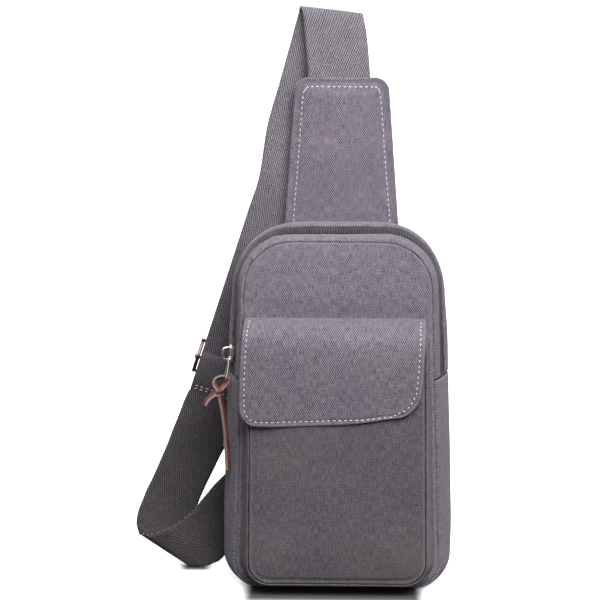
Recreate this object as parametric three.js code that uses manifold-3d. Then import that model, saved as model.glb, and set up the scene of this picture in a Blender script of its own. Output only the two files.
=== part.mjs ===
import * as THREE from "three";
import { mergeVertices } from "three/addons/utils/BufferGeometryUtils.js";
import Module from "manifold-3d";

// A canvas sling bag with a padded strap, in millimetres. Z is up, the front faces -Y,
// and the origin is on the floor under the middle of the body.

// cloth and clearances
const canvas = 1.2; // thickness of the outer canvas
const lining = 0.6; // thickness of the lining cloth
const webbing = 1.8; // thickness of the strap webbing
const gap = 0.3; // clearance between pieces that touch
const ply = canvas + gap;

// body, seen from the front
const bodyHeight = 290;
const bodyHalfLow = 93; // half width just above the bottom corners
const bodyHalfHigh = 85.5; // half width just below the top corners
const bodyCornerLow = 21;
const bodyCornerHigh = 42;

// body, from back to front
const backFace = 36;
const frontFace = -36;
const backRoundStart = 24; // the back edge rounds in behind this
const backRoundInset = 5;
const frontRoundStart = -2; // the front edge rounds in before this
const frontRoundPower = 1.6; // how late the rounding turns in
const frontSideInset = 9; // how far the front panel stands inside the body's outline
const frontTopInset = 1.5;
const frontBottomInset = 1.5;

// padded back
const backFoam = 5;

// main zip, round the top of the body
const zipEndHeight = 175; // both ends of the zip
const zipCentre = -20.5;
const zipOpening = 13; // from canvas edge to canvas edge
const tapeHalfWidth = 11;
const tapeThickness = 0.7;
const coilWidth = 2.6; // one half of the chain
const coilHeight = 1.4;
const coilSplit = 1; // between the two halves of the chain
const sliderAboveEnd = 18; // from the end of the zip to the slider at rest
const sliderHeight = zipEndHeight + sliderAboveEnd;
const sliderLength = 13;
const sliderWidth = 8.6;

// mouth: the front panel folds forward at this height
const foldHeight = 230;

// front pocket
const pocketHalf = 73;
const pocketBottom = 10;
const pocketMouth = 208;
const pocketCorner = 20;
const pocketDepth = 22;
const pocketRound = 12; // how far behind the pocket's face its rounding starts
const pocketRoundInset = 5;
const pocketHem = 12;

// pocket flap
const flapHinge = 223.4; // height of the seam that it hangs from
const flapHalf = 71.5;
const flapBottom = 141;
const flapCorner = 14;
const snapHeight = 160;
const snapRadius = 8;
const snapMale = 1.2;
const snapFemale = 1;

// inner slip pocket
const slipHalf = 60;
const slipBottom = 60;
const slipTop = 190;

// rear pocket zip, in the left edge of the back
const rearZipLow = 92;
const rearZipHigh = 225;
const rearZipCentre = 30;
const rearTapeThickness = 0.6;
const rearCoilWidth = 1.9;
const rearCoilHeight = 1.1;
const rearCoilSplit = 0.9;
const rearSliderHeight = 103;

// strap pad
const padCentre = 2;
const padBottom = 262;
const padTop = 408;
const padHalfLow = 48.5;
const padHalfHigh = 38.5;
const padCorner = 12;
const padFoam = 5.4;
const padHem = 15; // the foam stops this far below the top, where the webbing is sewn in

// strap webbing and buckle
const webbingWidth = 50;
const strapAngle = THREE.MathUtils.degToRad(18); // lean of the straight stretch
const strapPlane = 51.5; // middle of the upper webbing behind the bag
const buckleX = -90;
const buckleZ = 170;
const buckleHeight = 30;
const buckleBar = 3;
const bucklePlate = 2;
const buckleSide = 0.6; // clearance beside the webbing
const foldLength = 28; // from the bar to the stitched end of the fold
const strapTail = 58; // free end of the upper webbing below the buckle's bar
const patchLength = 24;
const patchAngle = THREE.MathUtils.degToRad(34); // slope of the webbing where it is sewn to the back

// colours
const cloth = (color) => new THREE.MeshStandardMaterial({ color, roughness: 0.95, metalness: 0 });
const canvasGrey = () => cloth(0x7b747f);
const canvasDark = () => cloth(0x5c5760);
const liningGrey = () => cloth(0x55525a);
const webbingGrey = () => cloth(0x64606a);
const foamGrey = () => cloth(0x8c8c90);
const tapeBlack = () => cloth(0x2c2a2e);
const leatherBrown = () => new THREE.MeshStandardMaterial({ color: 0x6b4034, roughness: 0.6, metalness: 0 });
const silver = () => new THREE.MeshStandardMaterial({ color: 0xc9c7c4, roughness: 0.25, metalness: 1 });
const gunmetal = () => new THREE.MeshStandardMaterial({ color: 0x4a433f, roughness: 0.35, metalness: 1 });

const bag = new THREE.Group();

function add(name, geometry, material, parent = bag) {
  const mesh = new THREE.Mesh(geometry, material);
  mesh.name = name;
  parent.add(mesh);
  return mesh;
}

// ---- outlines ----
// An outline is a rounded, tapering rectangle in the XZ plane. The place along it, s, runs from 0 at
// the middle of the bottom, up the right side (2 to 3), over the top and down the left (6 to 7), to 9.

const bodyForm = {
  halfLow: bodyHalfLow,
  halfHigh: bodyHalfHigh,
  bottom: 0,
  top: bodyHeight,
  cornerLow: bodyCornerLow,
  cornerHigh: bodyCornerHigh,
};

function shrink(form, side, top = side, bottom = side) {
  return {
    halfLow: form.halfLow - side,
    halfHigh: form.halfHigh - side,
    bottom: form.bottom + bottom,
    top: form.top - top,
    cornerLow: Math.max(form.cornerLow - bottom * 0.5, 1),
    cornerHigh: Math.max(form.cornerHigh - top * 0.5, 1),
  };
}

function bodyFormAt(y) {
  const front = Math.max(0, (frontRoundStart - y) / (frontRoundStart - frontFace)) ** frontRoundPower;
  const back = Math.max(0, (y - backRoundStart) / (backFace - backRoundStart)) ** 2;
  const rear = back * backRoundInset;
  return shrink(
    bodyForm,
    front * frontSideInset + rear,
    front * frontTopInset + rear,
    front * frontBottomInset + rear,
  );
}

function formPoint(form, place) {
  const s = ((place % 9) + 9) % 9;
  const k = Math.floor(s);
  const f = s - k;
  const turn = (f * Math.PI) / 2;
  const { halfLow, halfHigh, bottom, top, cornerLow, cornerHigh } = form;
  const sideLow = bottom + cornerLow;
  const sideHigh = top - cornerHigh;
  const flatLow = halfLow - cornerLow;
  const flatHigh = halfHigh - cornerHigh;
  if (k === 0) return [flatLow * f, bottom];
  if (k === 1) return [flatLow + cornerLow * Math.sin(turn), sideLow - cornerLow * Math.cos(turn)];
  if (k === 2) return [halfLow + (halfHigh - halfLow) * f, sideLow + (sideHigh - sideLow) * f];
  if (k === 3) return [flatHigh + cornerHigh * Math.cos(turn), sideHigh + cornerHigh * Math.sin(turn)];
  if (k === 4) return [flatHigh * (1 - 2 * f), top];
  const [x, z] = formPoint(form, 9 - s);
  return [-x, z];
}

// the place on the right or left side at a given height
function rightAt(z) {
  return (form) => {
    const low = form.bottom + form.cornerLow;
    const high = form.top - form.cornerHigh;
    return 2 + (z - low) / (high - low);
  };
}

function leftAt(z) {
  return (form) => 9 - rightAt(z)(form);
}

const cornerSteps = 6;

// where bands round the body and round the pocket bend, from back to front
const roundWidth = frontRoundStart - frontFace;
const bodyBends = [
  (backFace + backRoundStart) / 2,
  backRoundStart,
  frontRoundStart,
  frontRoundStart - roundWidth * 0.25,
  frontRoundStart - roundWidth * 0.5,
  frontRoundStart - roundWidth * 0.75,
];
const body = { formAt: bodyFormAt, bends: bodyBends };

// places from one end to the other: straight stretches as they are, corners in steps
function placesBetween(from, to) {
  const places = [from];
  for (let step = Math.floor(from) * cornerSteps; step < to * cornerSteps; step += 1) {
    const place = step / cornerSteps;
    const round = [1, 3, 5, 7].includes(((Math.floor(place) % 9) + 9) % 9);
    const onGrid = round || Number.isInteger(place);
    if (onGrid && place > from + 1e-6 && place < to - 1e-6) places.push(place);
  }
  places.push(to);
  return places;
}

// A band of cloth round an outline that changes with y. `from` and `to` give the place for a form,
// `depth` is how far the outer face lies inside the outline, and bands bend at the same `bends`, so
// that one nests in the next.
function band({ formAt, bends, from, to, wrap = 0, yBack, yFront, depth = 0, thick }) {
  const middle = formAt((yBack + yFront) / 2);
  const guide = placesBetween(from(middle), to(middle) + wrap);
  const rows = [yBack, ...bends.filter((y) => y < yBack && y > yFront), yFront];
  const last = guide.length - 1;
  const geometry = new THREE.BoxGeometry(1, 1, 1, last, rows.length - 1, 1);
  const spots = geometry.attributes.position;
  for (let i = 0; i < spots.count; i += 1) {
    const column = Math.round((spots.getX(i) + 0.5) * last);
    const y = rows[Math.round((spots.getY(i) + 0.5) * (rows.length - 1))];
    const outline = formAt(y);
    const form = shrink(outline, depth + thick * (0.5 - spots.getZ(i)));
    let place = guide[column];
    if (column === 0) place = from(form);
    if (column === last) place = to(form) + wrap;
    const [x, z] = formPoint(form, place);
    spots.setXYZ(i, x, y, z);
  }
  return geometry;
}

// A flat sheet filling an outline between two heights, with its back at y = back.
function sheet(form, back, thick, low = -Infinity, high = Infinity) {
  const shape = new THREE.Shape();
  let places = placesBetween(0, 9).slice(0, -1);
  if (low > -Infinity) places = placesBetween(rightAt(low)(form), leftAt(low)(form));
  if (high < Infinity) places = placesBetween(leftAt(high)(form) - 9, rightAt(high)(form));
  const corners = places.map((place) => new THREE.Vector2(...formPoint(form, place)));
  shape.setFromPoints(corners);
  const geometry = new THREE.ExtrudeGeometry(shape, { depth: thick, bevelEnabled: false });
  geometry.rotateX(Math.PI / 2);
  geometry.translate(0, back, 0);
  return geometry;
}

// A ribbon along a curve. `across` gives its width at each of the curve's points: a unit vector square
// to the curve, or one along the crease, a little longer, where the ribbon folds over at a slant.
function ribbon(points, across, width, thick, steps) {
  const curve = new THREE.CatmullRomCurve3(points, false, "centripetal");
  const geometry = new THREE.BoxGeometry(1, 1, 1, steps, 1, 1);
  const spots = geometry.attributes.position;
  const last = across.length - 1;
  for (let i = 0; i < spots.count; i += 1) {
    const t = spots.getX(i) + 0.5;
    const k = Math.min(Math.floor(t * last), last - 1);
    const along = curve.getTangent(t);
    const side = across[k].clone().lerp(across[k + 1], t * last - k);
    const out = along.clone().cross(side).normalize();
    const spot = curve.getPoint(t);
    spot.addScaledVector(side, spots.getY(i) * width);
    spot.addScaledVector(out, spots.getZ(i) * thick);
    spots.setXYZ(i, spot.x, spot.y, spot.z);
  }
  return geometry;
}

// A round or flat wire along a curve.
function wire(points, radius, sides, steps, flatten = 1) {
  const shape = new THREE.Shape();
  const rim = [];
  for (let i = 0; i < sides; i += 1) {
    const turn = (2 * Math.PI * i) / sides;
    rim.push(new THREE.Vector2(radius * Math.cos(turn), radius * flatten * Math.sin(turn)));
  }
  shape.setFromPoints(rim);
  const extrudePath = new THREE.CatmullRomCurve3(points, false, "centripetal");
  return new THREE.ExtrudeGeometry(shape, { steps, extrudePath, bevelEnabled: false });
}

function block(width, depth, height, x = 0, y = 0, z = 0) {
  const geometry = new THREE.BoxGeometry(width, depth, height);
  geometry.translate(x, y, z);
  return geometry;
}

// a disc whose round faces look along Y
function disc(radius, thick, sides = 24) {
  return new THREE.CylinderGeometry(radius, radius, thick, sides);
}

// ---- joining and cutting ----

const wasm = await Module();
wasm.setup();

function toSolid(geometry) {
  const bare = geometry.index ? geometry.toNonIndexed() : geometry.clone();
  bare.deleteAttribute("normal");
  bare.deleteAttribute("uv");
  const merged = mergeVertices(bare, 1e-4);
  const vertProperties = new Float32Array(merged.attributes.position.array);
  const triVerts = new Uint32Array(merged.index.array);
  return new wasm.Manifold(new wasm.Mesh({ numProp: 3, vertProperties, triVerts }));
}

function fromSolid(solid) {
  const mesh = solid.getMesh();
  const geometry = new THREE.BufferGeometry();
  geometry.setAttribute("position", new THREE.BufferAttribute(mesh.vertProperties, 3));
  geometry.setIndex(new THREE.BufferAttribute(mesh.triVerts, 1));
  return geometry;
}

function join(...geometries) {
  return fromSolid(geometries.map(toSolid).reduce((whole, next) => whole.add(next)));
}

// ---- body ----

function buildBody() {
  const backForm = shrink(bodyFormAt(backFace), ply);
  const frontForm = shrink(bodyFormAt(frontFace), ply);
  const foamBack = backFace - canvas - gap - lining - gap;
  const foamFront = foamBack - backFoam;
  const liningFront = foamFront - gap - lining;

  add("back_panel", sheet(backForm, backFace, canvas), canvasGrey());
  add("rear_pocket_lining", sheet(shrink(backForm, 3), backFace - canvas - gap, lining), liningGrey());
  add("back_foam", sheet(shrink(backForm, 1), foamBack, backFoam), foamGrey());
  add("back_lining", sheet(shrink(bodyForm, backRoundInset), foamFront - gap, lining), liningGrey());

  const zipLow = leftAt(rearZipLow - gap);
  const zipHigh = leftAt(rearZipHigh + gap);
  add("back_binding", band({
    ...body, from: zipLow, to: zipHigh, wrap: 9,
    yBack: backFace, yFront: backRoundStart + gap, thick: canvas,
  }), canvasDark());

  const zipRear = zipCentre + zipOpening / 2;
  const zipFront = zipCentre - zipOpening / 2;
  add("upper_gusset", band({
    ...body, from: rightAt(zipEndHeight + gap), to: leftAt(zipEndHeight + gap),
    yBack: backRoundStart, yFront: zipRear, thick: canvas,
  }), canvasGrey());
  add("lower_gusset", band({
    ...body, from: leftAt(zipEndHeight), to: rightAt(zipEndHeight), wrap: 9,
    yBack: backRoundStart, yFront: frontFace, thick: canvas,
  }), canvasGrey());
  add("gusset_lining", band({
    ...body, from: () => 0.005, to: () => 8.995,
    yBack: backRoundStart, yFront: zipCentre + tapeHalfWidth + gap, depth: ply, thick: lining,
  }), liningGrey());

  add("front_panel", sheet(frontForm, frontFace + canvas, canvas, -Infinity, foldHeight), canvasGrey());
  add("front_lining", sheet(shrink(frontForm, 1), frontFace + ply + lining, lining, -Infinity, foldHeight - 2),
    liningGrey());
  add("front_top_panel", sheet(frontForm, frontFace + canvas, canvas, foldHeight + gap), canvasGrey());
  add("front_top_lining", sheet(shrink(frontForm, 1), frontFace + ply + lining, lining, foldHeight + 2),
    liningGrey());

  const strip = { ...body, yBack: zipFront, yFront: frontFace, thick: canvas };
  add("front_strip_top", band({ ...strip, from: rightAt(foldHeight + gap), to: leftAt(foldHeight + gap) }),
    canvasGrey());
  add("front_strip_right", band({ ...strip, from: rightAt(zipEndHeight + gap), to: rightAt(foldHeight) }),
    canvasGrey());
  add("front_strip_left", band({ ...strip, from: leftAt(foldHeight), to: leftAt(zipEndHeight + gap) }),
    canvasGrey());

  const slipBack = liningFront - gap;
  add("slip_pocket", block(2 * slipHalf, lining, slipTop - slipBottom, 0, slipBack - lining / 2,
    (slipTop + slipBottom) / 2), liningGrey());
}

// ---- main zip ----

function buildMainZip() {
  const low = zipEndHeight + gap;
  const split = coilSplit / 2;
  const tape = { ...body, depth: ply, thick: tapeThickness };
  const coil = { ...body, depth: ply - gap - coilHeight, thick: coilHeight };
  const rearTape = { yBack: zipCentre + tapeHalfWidth, yFront: zipCentre + split };
  const frontTape = { yBack: zipCentre - split, yFront: zipCentre - tapeHalfWidth };
  const rearCoil = { yBack: zipCentre + split + coilWidth, yFront: zipCentre + split };
  const frontCoil = { yBack: zipCentre - split, yFront: zipCentre - split - coilWidth };
  const arch = { from: rightAt(low), to: leftAt(low) };
  const top = { from: rightAt(foldHeight + gap), to: leftAt(foldHeight + gap) };
  const right = { from: rightAt(low), to: rightAt(foldHeight) };
  const left = { from: leftAt(foldHeight), to: leftAt(low) };

  add("zip_tape_rear", band({ ...tape, ...rearTape, ...arch }), tapeBlack());
  add("zip_coil_rear", band({ ...coil, ...rearCoil, ...arch }), tapeBlack());
  add("zip_tape_front_top", band({ ...tape, ...frontTape, ...top }), tapeBlack());
  add("zip_coil_front_top", band({ ...coil, ...frontCoil, ...top }), tapeBlack());
  add("zip_tape_front_right", band({ ...tape, ...frontTape, ...right }), tapeBlack());
  add("zip_coil_front_right", band({ ...coil, ...frontCoil, ...right }), tapeBlack());
  add("zip_tape_front_left", band({ ...tape, ...frontTape, ...left }), tapeBlack());
  add("zip_coil_front_left", band({ ...coil, ...frontCoil, ...left }), tapeBlack());
}

// A slider that stands on its chain: +X points out of the cloth and +Z along the zip. Two plates joined
// by a thin web that leans with the slit between the chain's halves, and a bail over the outer plate.
function sliderGeometry({ length, width, web, lean, plateOut, plateIn, bailReach, bailWire }) {
  const plate = 1;
  const bailFoot = length / 2 - 1.6;
  const out = plateOut + plate;
  const half = [
    [plateOut + plate * 0.5, bailFoot],
    [out + bailReach * 0.3, bailFoot],
    [out + bailReach * 0.8, bailFoot - 0.3],
    [out + bailReach, bailFoot - 1.8],
  ];
  const bailPath = [...half, ...half.toReversed().map(([x, z]) => [x, -z])];
  const bail = wire(bailPath.map(([x, z]) => new THREE.Vector3(x, 0, z)), bailWire / 2, 8, 22);
  const outer = block(plate, width, length, plateOut + plate / 2);
  const inner = block(plate, width, length, plateIn - plate / 2);
  const joining = block(plateOut - plateIn + plate, web, length * 0.5, (plateOut + plateIn) / 2, 0, length * 0.2);
  joining.rotateZ(lean);
  return join(outer, inner, joining, bail);
}

// where the pull's eye hangs on the bail, measured from the slider's middle
function bailSeat({ length, plateOut, bailReach }) {
  return new THREE.Vector3(plateOut + 1 + bailReach * 0.42, 0, 1.6 - length / 2);
}

// A wire pull that hangs from the bail: an eye round it, and two legs that spread to a bar at the bottom.
function pullGeometry({ eye, length, spread, thickness, hangs }) {
  const ring = new THREE.TorusGeometry(eye, thickness / 2, 8, 16);
  ring.rotateY(Math.PI / 2);
  ring.translate(0, 0, -hangs);
  const foot = -length + thickness / 2;
  const legs = [-1, 1].map((side) => wire([
    new THREE.Vector3(0, side * eye * 0.5, -hangs - eye * 0.9),
    new THREE.Vector3(0, side * spread * 0.8, -length * 0.55),
    new THREE.Vector3(0, side * spread, foot),
  ], thickness / 2, 8, 6));
  const bar = new THREE.CylinderGeometry(thickness / 2, thickness / 2, 2 * spread, 8);
  bar.translate(0, 0, foot);
  return join(ring, ...legs, bar);
}

const mainSlider = {
  length: sliderLength,
  width: sliderWidth,
  web: coilSplit - 2 * gap,
  plateOut: 0.9,
  plateIn: -3.4,
  bailReach: 3.6,
  bailWire: 1.3,
};
const mainPull = { eye: 2, length: 17, spread: 3.4, thickness: 1.2 };
const rearSlider = {
  length: 10,
  width: 6.6,
  web: rearCoilSplit - 2 * gap,
  plateOut: 1.6,
  plateIn: -2,
  bailReach: 2.4,
  bailWire: 0.9,
};
const rearPull = { eye: 1.4, length: 13, spread: 1.6, thickness: 0.9 };
const eyeClearance = 0.15;
const laceWidth = 4.4;
const laceThickness = 1.7;
const knotRadius = 3.8;

// the point of the left side's surface at a height and a depth, and the way it faces
function leftSurface(y, z) {
  const step = 0.5;
  const at = (yy) => formPoint(bodyFormAt(yy), leftAt(z)(bodyFormAt(yy)))[0];
  const facing = Math.atan2(at(y + step) - at(y - step), 2 * step);
  return { x: at(y), turn: Math.PI - facing };
}

function sliderSeat(y, z) {
  const surface = leftSurface(y, z);
  const seat = new THREE.Group();
  seat.position.set(surface.x, y, z);
  seat.rotation.z = surface.turn;
  bag.add(seat);
  return seat;
}

// a slider with its pull, on the left side of the body
function buildSlider(names, slider, pull, y, z, pullLean) {
  const seat = sliderSeat(y, z);
  const lean = Math.PI - seat.rotation.z;
  add(names[0], sliderGeometry({ ...slider, lean }), silver(), seat);
  const hanger = new THREE.Group();
  hanger.position.copy(bailSeat(slider));
  hanger.rotation.y = -pullLean;
  seat.add(hanger);
  const hangs = pull.eye - (pull.thickness + slider.bailWire) / 2 - eyeClearance;
  add(names[1], pullGeometry({ ...pull, hangs }), silver(), hanger);
}

const mainPullLean = THREE.MathUtils.degToRad(12); // away from the bag

// The leather lace: a loop through the pull's bar, a knot, a short tail and a long one.
const laceLoop = [
  [-97.3, -25.1, 165.3], [-98.9, -24.5, 168.2], [-98.1, -23.7, 171.6], [-94.7, -22.9, 173.7],
  [-90.7, -22.5, 174], [-88.1, -22.6, 172], [-89, -23.7, 168.8], [-92.5, -25.1, 165.5],
];
const laceKnot = [-95.3, -25.7, 162];
const laceShortTail = [[-99.1, -26.5, 160.8], [-102.3, -26.9, 158.4], [-105.3, -27.3, 155.4], [-107.1, -27.5, 151.6]];
const laceLongTail = [
  [-94.5, -26.5, 158.3], [-92.8, -27.9, 151], [-91.2, -28.7, 142], [-90, -29.5, 131], [-89.1, -30.1, 119],
  [-88.5, -30.5, 108], [-87.9, -30.7, 98.5],
];

function buildLace() {
  const points = (list) => list.map((spot) => new THREE.Vector3(...spot));
  const strip = (list, steps) => wire(points(list), laceWidth / 2, 8, steps, laceThickness / laceWidth);
  add("lace_loop", strip(laceLoop, 22), leatherBrown());
  add("lace_short_tail", strip(laceShortTail, 6), leatherBrown());
  add("lace_long_tail", strip(laceLongTail, 14), leatherBrown());
  const knot = new THREE.SphereGeometry(knotRadius, 14, 10);
  knot.scale(1, 0.9, 0.85);
  add("lace_knot", knot, leatherBrown()).position.set(...laceKnot);
}

// ---- rear pocket zip ----

function buildRearZip() {
  const split = rearCoilSplit / 2;
  const run = { ...body, from: leftAt(rearZipHigh), to: leftAt(rearZipLow) };
  const tape = { ...run, depth: gap, thick: rearTapeThickness };
  const coil = { ...run, depth: -rearCoilHeight, thick: rearCoilHeight - gap / 3 };
  const backEdge = backFace - canvas - gap;
  add("rear_zip_tape_back", band({ ...tape, yBack: backEdge, yFront: rearZipCentre + split }), tapeBlack());
  add("rear_zip_tape_front", band({ ...tape, yBack: rearZipCentre - split, yFront: backRoundStart + gap }),
    tapeBlack());
  add("rear_zip_coil_back", band({
    ...coil, yBack: rearZipCentre + split + rearCoilWidth, yFront: rearZipCentre + split,
  }), tapeBlack());
  add("rear_zip_coil_front", band({
    ...coil, yBack: rearZipCentre - split, yFront: rearZipCentre - split - rearCoilWidth,
  }), tapeBlack());

  buildSlider(["rear_slider", "rear_pull"], rearSlider, rearPull, rearZipCentre, rearSliderHeight, 0);
}

// ---- front pocket and its flap ----

const pocketBack = frontFace - gap;
const pocketFace = frontFace - pocketDepth;

const pocketForm = {
  halfLow: pocketHalf,
  halfHigh: pocketHalf,
  bottom: pocketBottom,
  top: bodyHeight,
  cornerLow: pocketCorner,
  cornerHigh: 1,
};

function pocketFormAt(y) {
  const round = Math.max(0, (pocketFace + pocketRound - y) / pocketRound) ** 2;
  return shrink(pocketForm, round * pocketRoundInset);
}

const pocketBends = [
  pocketFace + pocketRound,
  pocketFace + pocketRound * 0.67,
  pocketFace + pocketRound * 0.33,
];

function buildPocket() {
  add("pocket_gusset", band({
    formAt: pocketFormAt, bends: pocketBends, from: leftAt(pocketMouth), to: rightAt(pocketMouth), wrap: 9,
    yBack: pocketBack, yFront: pocketFace, thick: canvas,
  }), canvasDark());
  const frontForm = shrink(pocketFormAt(pocketFace), ply);
  add("pocket_front", sheet(frontForm, pocketFace + canvas, canvas, -Infinity, pocketMouth), canvasDark());
  const hemBack = pocketFace + canvas + gap + canvas;
  add("pocket_hem", block(2 * (frontForm.halfHigh - 1), canvas, pocketHem, 0, hemBack - canvas / 2,
    pocketMouth - pocketHem / 2), canvasDark());
  add("snap_socket", disc(snapRadius, snapFemale), silver())
    .position.set(0, pocketFace - gap - snapFemale / 2, snapHeight);
}

// the flap's inner face from the seam down, as distances out from the front panel and heights
function flapCurve() {
  const snapped = pocketDepth + gap + snapFemale + gap + snapMale + gap;
  const spots = [
    [gap + 0.2, flapHinge],
    [9, flapHinge - 4.1],
    [pocketDepth - 3.5, flapHinge - 9.4],
    [pocketDepth + 1.3, pocketMouth + 1],
    [snapped - 0.3, pocketMouth - 12],
    [snapped, snapHeight],
    [snapped - 0.2, flapBottom],
  ];
  return new THREE.CatmullRomCurve3(spots.map(([out, z]) => new THREE.Vector3(0, frontFace - out, z)),
    false, "centripetal");
}

// A layer of the flap between two distances from its inner face.
function flapLayer(inner, outer, inset) {
  const curve = flapCurve();
  const length = curve.getLength();
  const columns = 6;
  const stops = [0, 0.1, 0.3, 0.6, 1].map((k) => (k * flapCorner) / length);
  for (let k = 1; k <= 8; k += 1) stops.push(stops[4] + ((1 - stops[4]) * k) / 8);
  const last = stops.length - 1;
  const geometry = new THREE.BoxGeometry(1, 1, 1, columns, last, 1);
  const spots = geometry.attributes.position;
  for (let i = 0; i < spots.count; i += 1) {
    const up = stops[Math.round((spots.getY(i) + 0.5) * last)];
    const short = Math.max(0, flapCorner - up * length);
    const half = flapHalf - inset - flapCorner + Math.sqrt(flapCorner ** 2 - short ** 2);
    const spot = curve.getPointAt(1 - up);
    const along = curve.getTangentAt(1 - up);
    const out = new THREE.Vector3(0, along.z, -along.y);
    spot.addScaledVector(out, inner + (outer - inner) * (spots.getZ(i) + 0.5));
    spots.setXYZ(i, spots.getX(i) * 2 * half, spot.y, spot.z);
  }
  return geometry;
}

function buildFlap() {
  add("flap_lining", flapLayer(0, lining, 1), liningGrey());
  add("flap_outer", flapLayer(lining + gap, lining + gap + canvas, 0), canvasGrey());
  add("snap_stud", disc(snapRadius, snapMale), silver())
    .position.set(0, pocketFace - 2 * gap - snapFemale - snapMale / 2, snapHeight);
}

// ---- strap ----

const padForm = {
  halfLow: padHalfLow,
  halfHigh: padHalfHigh,
  bottom: padBottom,
  top: padTop,
  cornerLow: 1,
  cornerHigh: padCorner,
};

function buildPad() {
  const front = backFace + gap;
  const foamFront = front + canvas + gap;
  const backFront = foamFront + padFoam + gap;
  const pad = new THREE.Group();
  pad.position.x = padCentre;
  bag.add(pad);
  add("pad_front", sheet(padForm, front + canvas, canvas), canvasGrey(), pad);
  add("pad_foam", sheet(shrink(padForm, 2, padHem, 2), foamFront + padFoam, padFoam), foamGrey(), pad);
  add("pad_back", sheet(padForm, backFront + canvas, canvas), canvasGrey(), pad);
}

const v = (x, y, z) => new THREE.Vector3(x, y, z);

// a place on the straight stretch of the upper webbing, by its distance above the buckle
function onStrap(up, out = 0) {
  return v(buckleX + up * Math.sin(strapAngle), strapPlane + out, buckleZ + up * Math.cos(strapAngle));
}

function buildWebbing() {
  const lean = v(Math.cos(strapAngle), 0, -Math.sin(strapAngle));
  const sewnIn = backFace + gap + canvas + gap + padFoam / 2;
  const apexCrease = v(0.99, 0, -0.11);
  const upper = [
    [v(0.5, sewnIn, padTop - padHem + 2), v(1, 0, 0.03)],
    [v(-0.8, sewnIn, 416), v(1, 0, 0.06)],
    [v(-3, 42.2, 441), v(1, 0, -0.02)],
    [v(-5, 44.6, 455.8), apexCrease],
    [v(-6.8, 48.4, 460.9), apexCrease],
    [v(-8.8, 52.2, 455.8), apexCrease],
    [v(-12.6, 53, 441), v(0.98, 0, -0.18)],
    [v(-23.6, 52.3, 398), v(0.965, 0, -0.27)],
    [v(-33.8, 51.8, 360), v(0.96, 0, -0.29)],
    [onStrap(155), lean],
    [onStrap(125), lean],
    [onStrap(0), lean],
    [onStrap(-strapTail), lean],
  ];
  add("webbing_upper", ribbon(upper.map((row) => row[0]), upper.map((row) => row[1]), webbingWidth, webbing,
    60), webbingGrey());

  const seam = backFace + gap + webbing / 2;
  const crease = v(0.807, 0, -0.663);
  const square = v(0.56, 0, -0.83);
  const lower = [
    [onStrap(-foldLength - 1, -5), lean],
    [v(-107, 46.9, 119), v(0.948, 0, -0.32)],
    [v(-114, 48.2, 98), v(0.945, 0.02, -0.33)],
    [v(-121.5, 50.8, 77), v(0.93, 0.05, -0.36)],
    [v(-130.5, 53.2, 54), v(0.92, 0.03, -0.46)],
    [v(-139.4, 54.2, 33), crease],
    [v(-142.6, 53.2, 25.6), crease],
    [v(-144.4, 50, 22.2), crease],
    [v(-142, 46.6, 22.6), crease],
    [v(-135, 45, 26.4), crease],
    [v(-117, 43.4, 37.4), v(0.66, 0, -0.79)],
    [v(-94, 40.8, 52.4), square],
    [v(-77, seam + 0.4, 64), square],
    [v(-66, seam, 71.6), square],
    [v(-56, seam, 78.4), square],
  ];
  add("webbing_lower", ribbon(lower.map((row) => row[0]), lower.map((row) => row[1]), webbingWidth, webbing,
    60), webbingGrey());

  const patch = new THREE.Group();
  patch.position.set(-58, seam + webbing / 2 + gap + canvas / 2, 77);
  patch.rotation.y = -patchAngle;
  bag.add(patch);
  add("strap_patch", block(patchLength, canvas, webbingWidth + 6), canvasDark(), patch);
}

function buildBuckle() {
  const buckle = new THREE.Group();
  buckle.position.copy(onStrap(0));
  buckle.rotation.y = strapAngle;
  bag.add(buckle);
  const halfIn = webbingWidth / 2 + buckleSide;
  const endBar = (buckleHeight - buckleBar) / 2;
  const behind = webbing / 2 + gap + bucklePlate / 2;
  const ahead = -(webbing / 2 + gap + webbing + gap + bucklePlate / 2);
  const barLength = 2 * (halfIn + buckleBar);
  const bars = [
    block(barLength, bucklePlate, buckleBar, 0, behind, endBar),
    block(barLength, bucklePlate, buckleBar, 0, behind, -endBar),
    block(barLength, bucklePlate, buckleBar, 0, ahead, 0),
  ];
  const rails = [-1, 1].map((side) => {
    const x = side * (halfIn + buckleBar / 2);
    const path = [
      v(x, behind, -buckleHeight / 2),
      v(x, behind - 0.6, -buckleHeight * 0.38),
      v(x, (behind + ahead) / 2, -buckleHeight * 0.22),
      v(x, ahead, -buckleHeight * 0.06),
      v(x, ahead, buckleHeight * 0.06),
      v(x, (behind + ahead) / 2, buckleHeight * 0.22),
      v(x, behind - 0.6, buckleHeight * 0.38),
      v(x, behind, buckleHeight / 2),
    ];
    return ribbon(path, path.map(() => v(1, 0, 0)), buckleBar, bucklePlate, 21);
  });
  add("triglide", join(...bars, ...rails), gunmetal(), buckle);

  // the end of the lower webbing, folded round the middle bar and sewn to itself
  const inner = ahead + bucklePlate / 2 + gap + webbing / 2;
  const outer = ahead - bucklePlate / 2 - gap - webbing / 2;
  const fold = [
    v(0, inner - 1.3, -foldLength),
    v(0, inner - 0.3, -20),
    v(0, inner, -9),
    v(0, inner, 0),
    v(0, inner - 0.4, 2.6),
    v(0, ahead, 4.2),
    v(0, outer + 0.4, 2.6),
    v(0, outer, 0),
    v(0, outer, -9),
    v(0, outer + 0.2, -20),
    v(0, outer + 0.8, -foldLength),
  ];
  add("webbing_fold", ribbon(fold, fold.map(() => v(1, 0, 0)), webbingWidth, webbing, 40), webbingGrey(),
    buckle);
}

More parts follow.
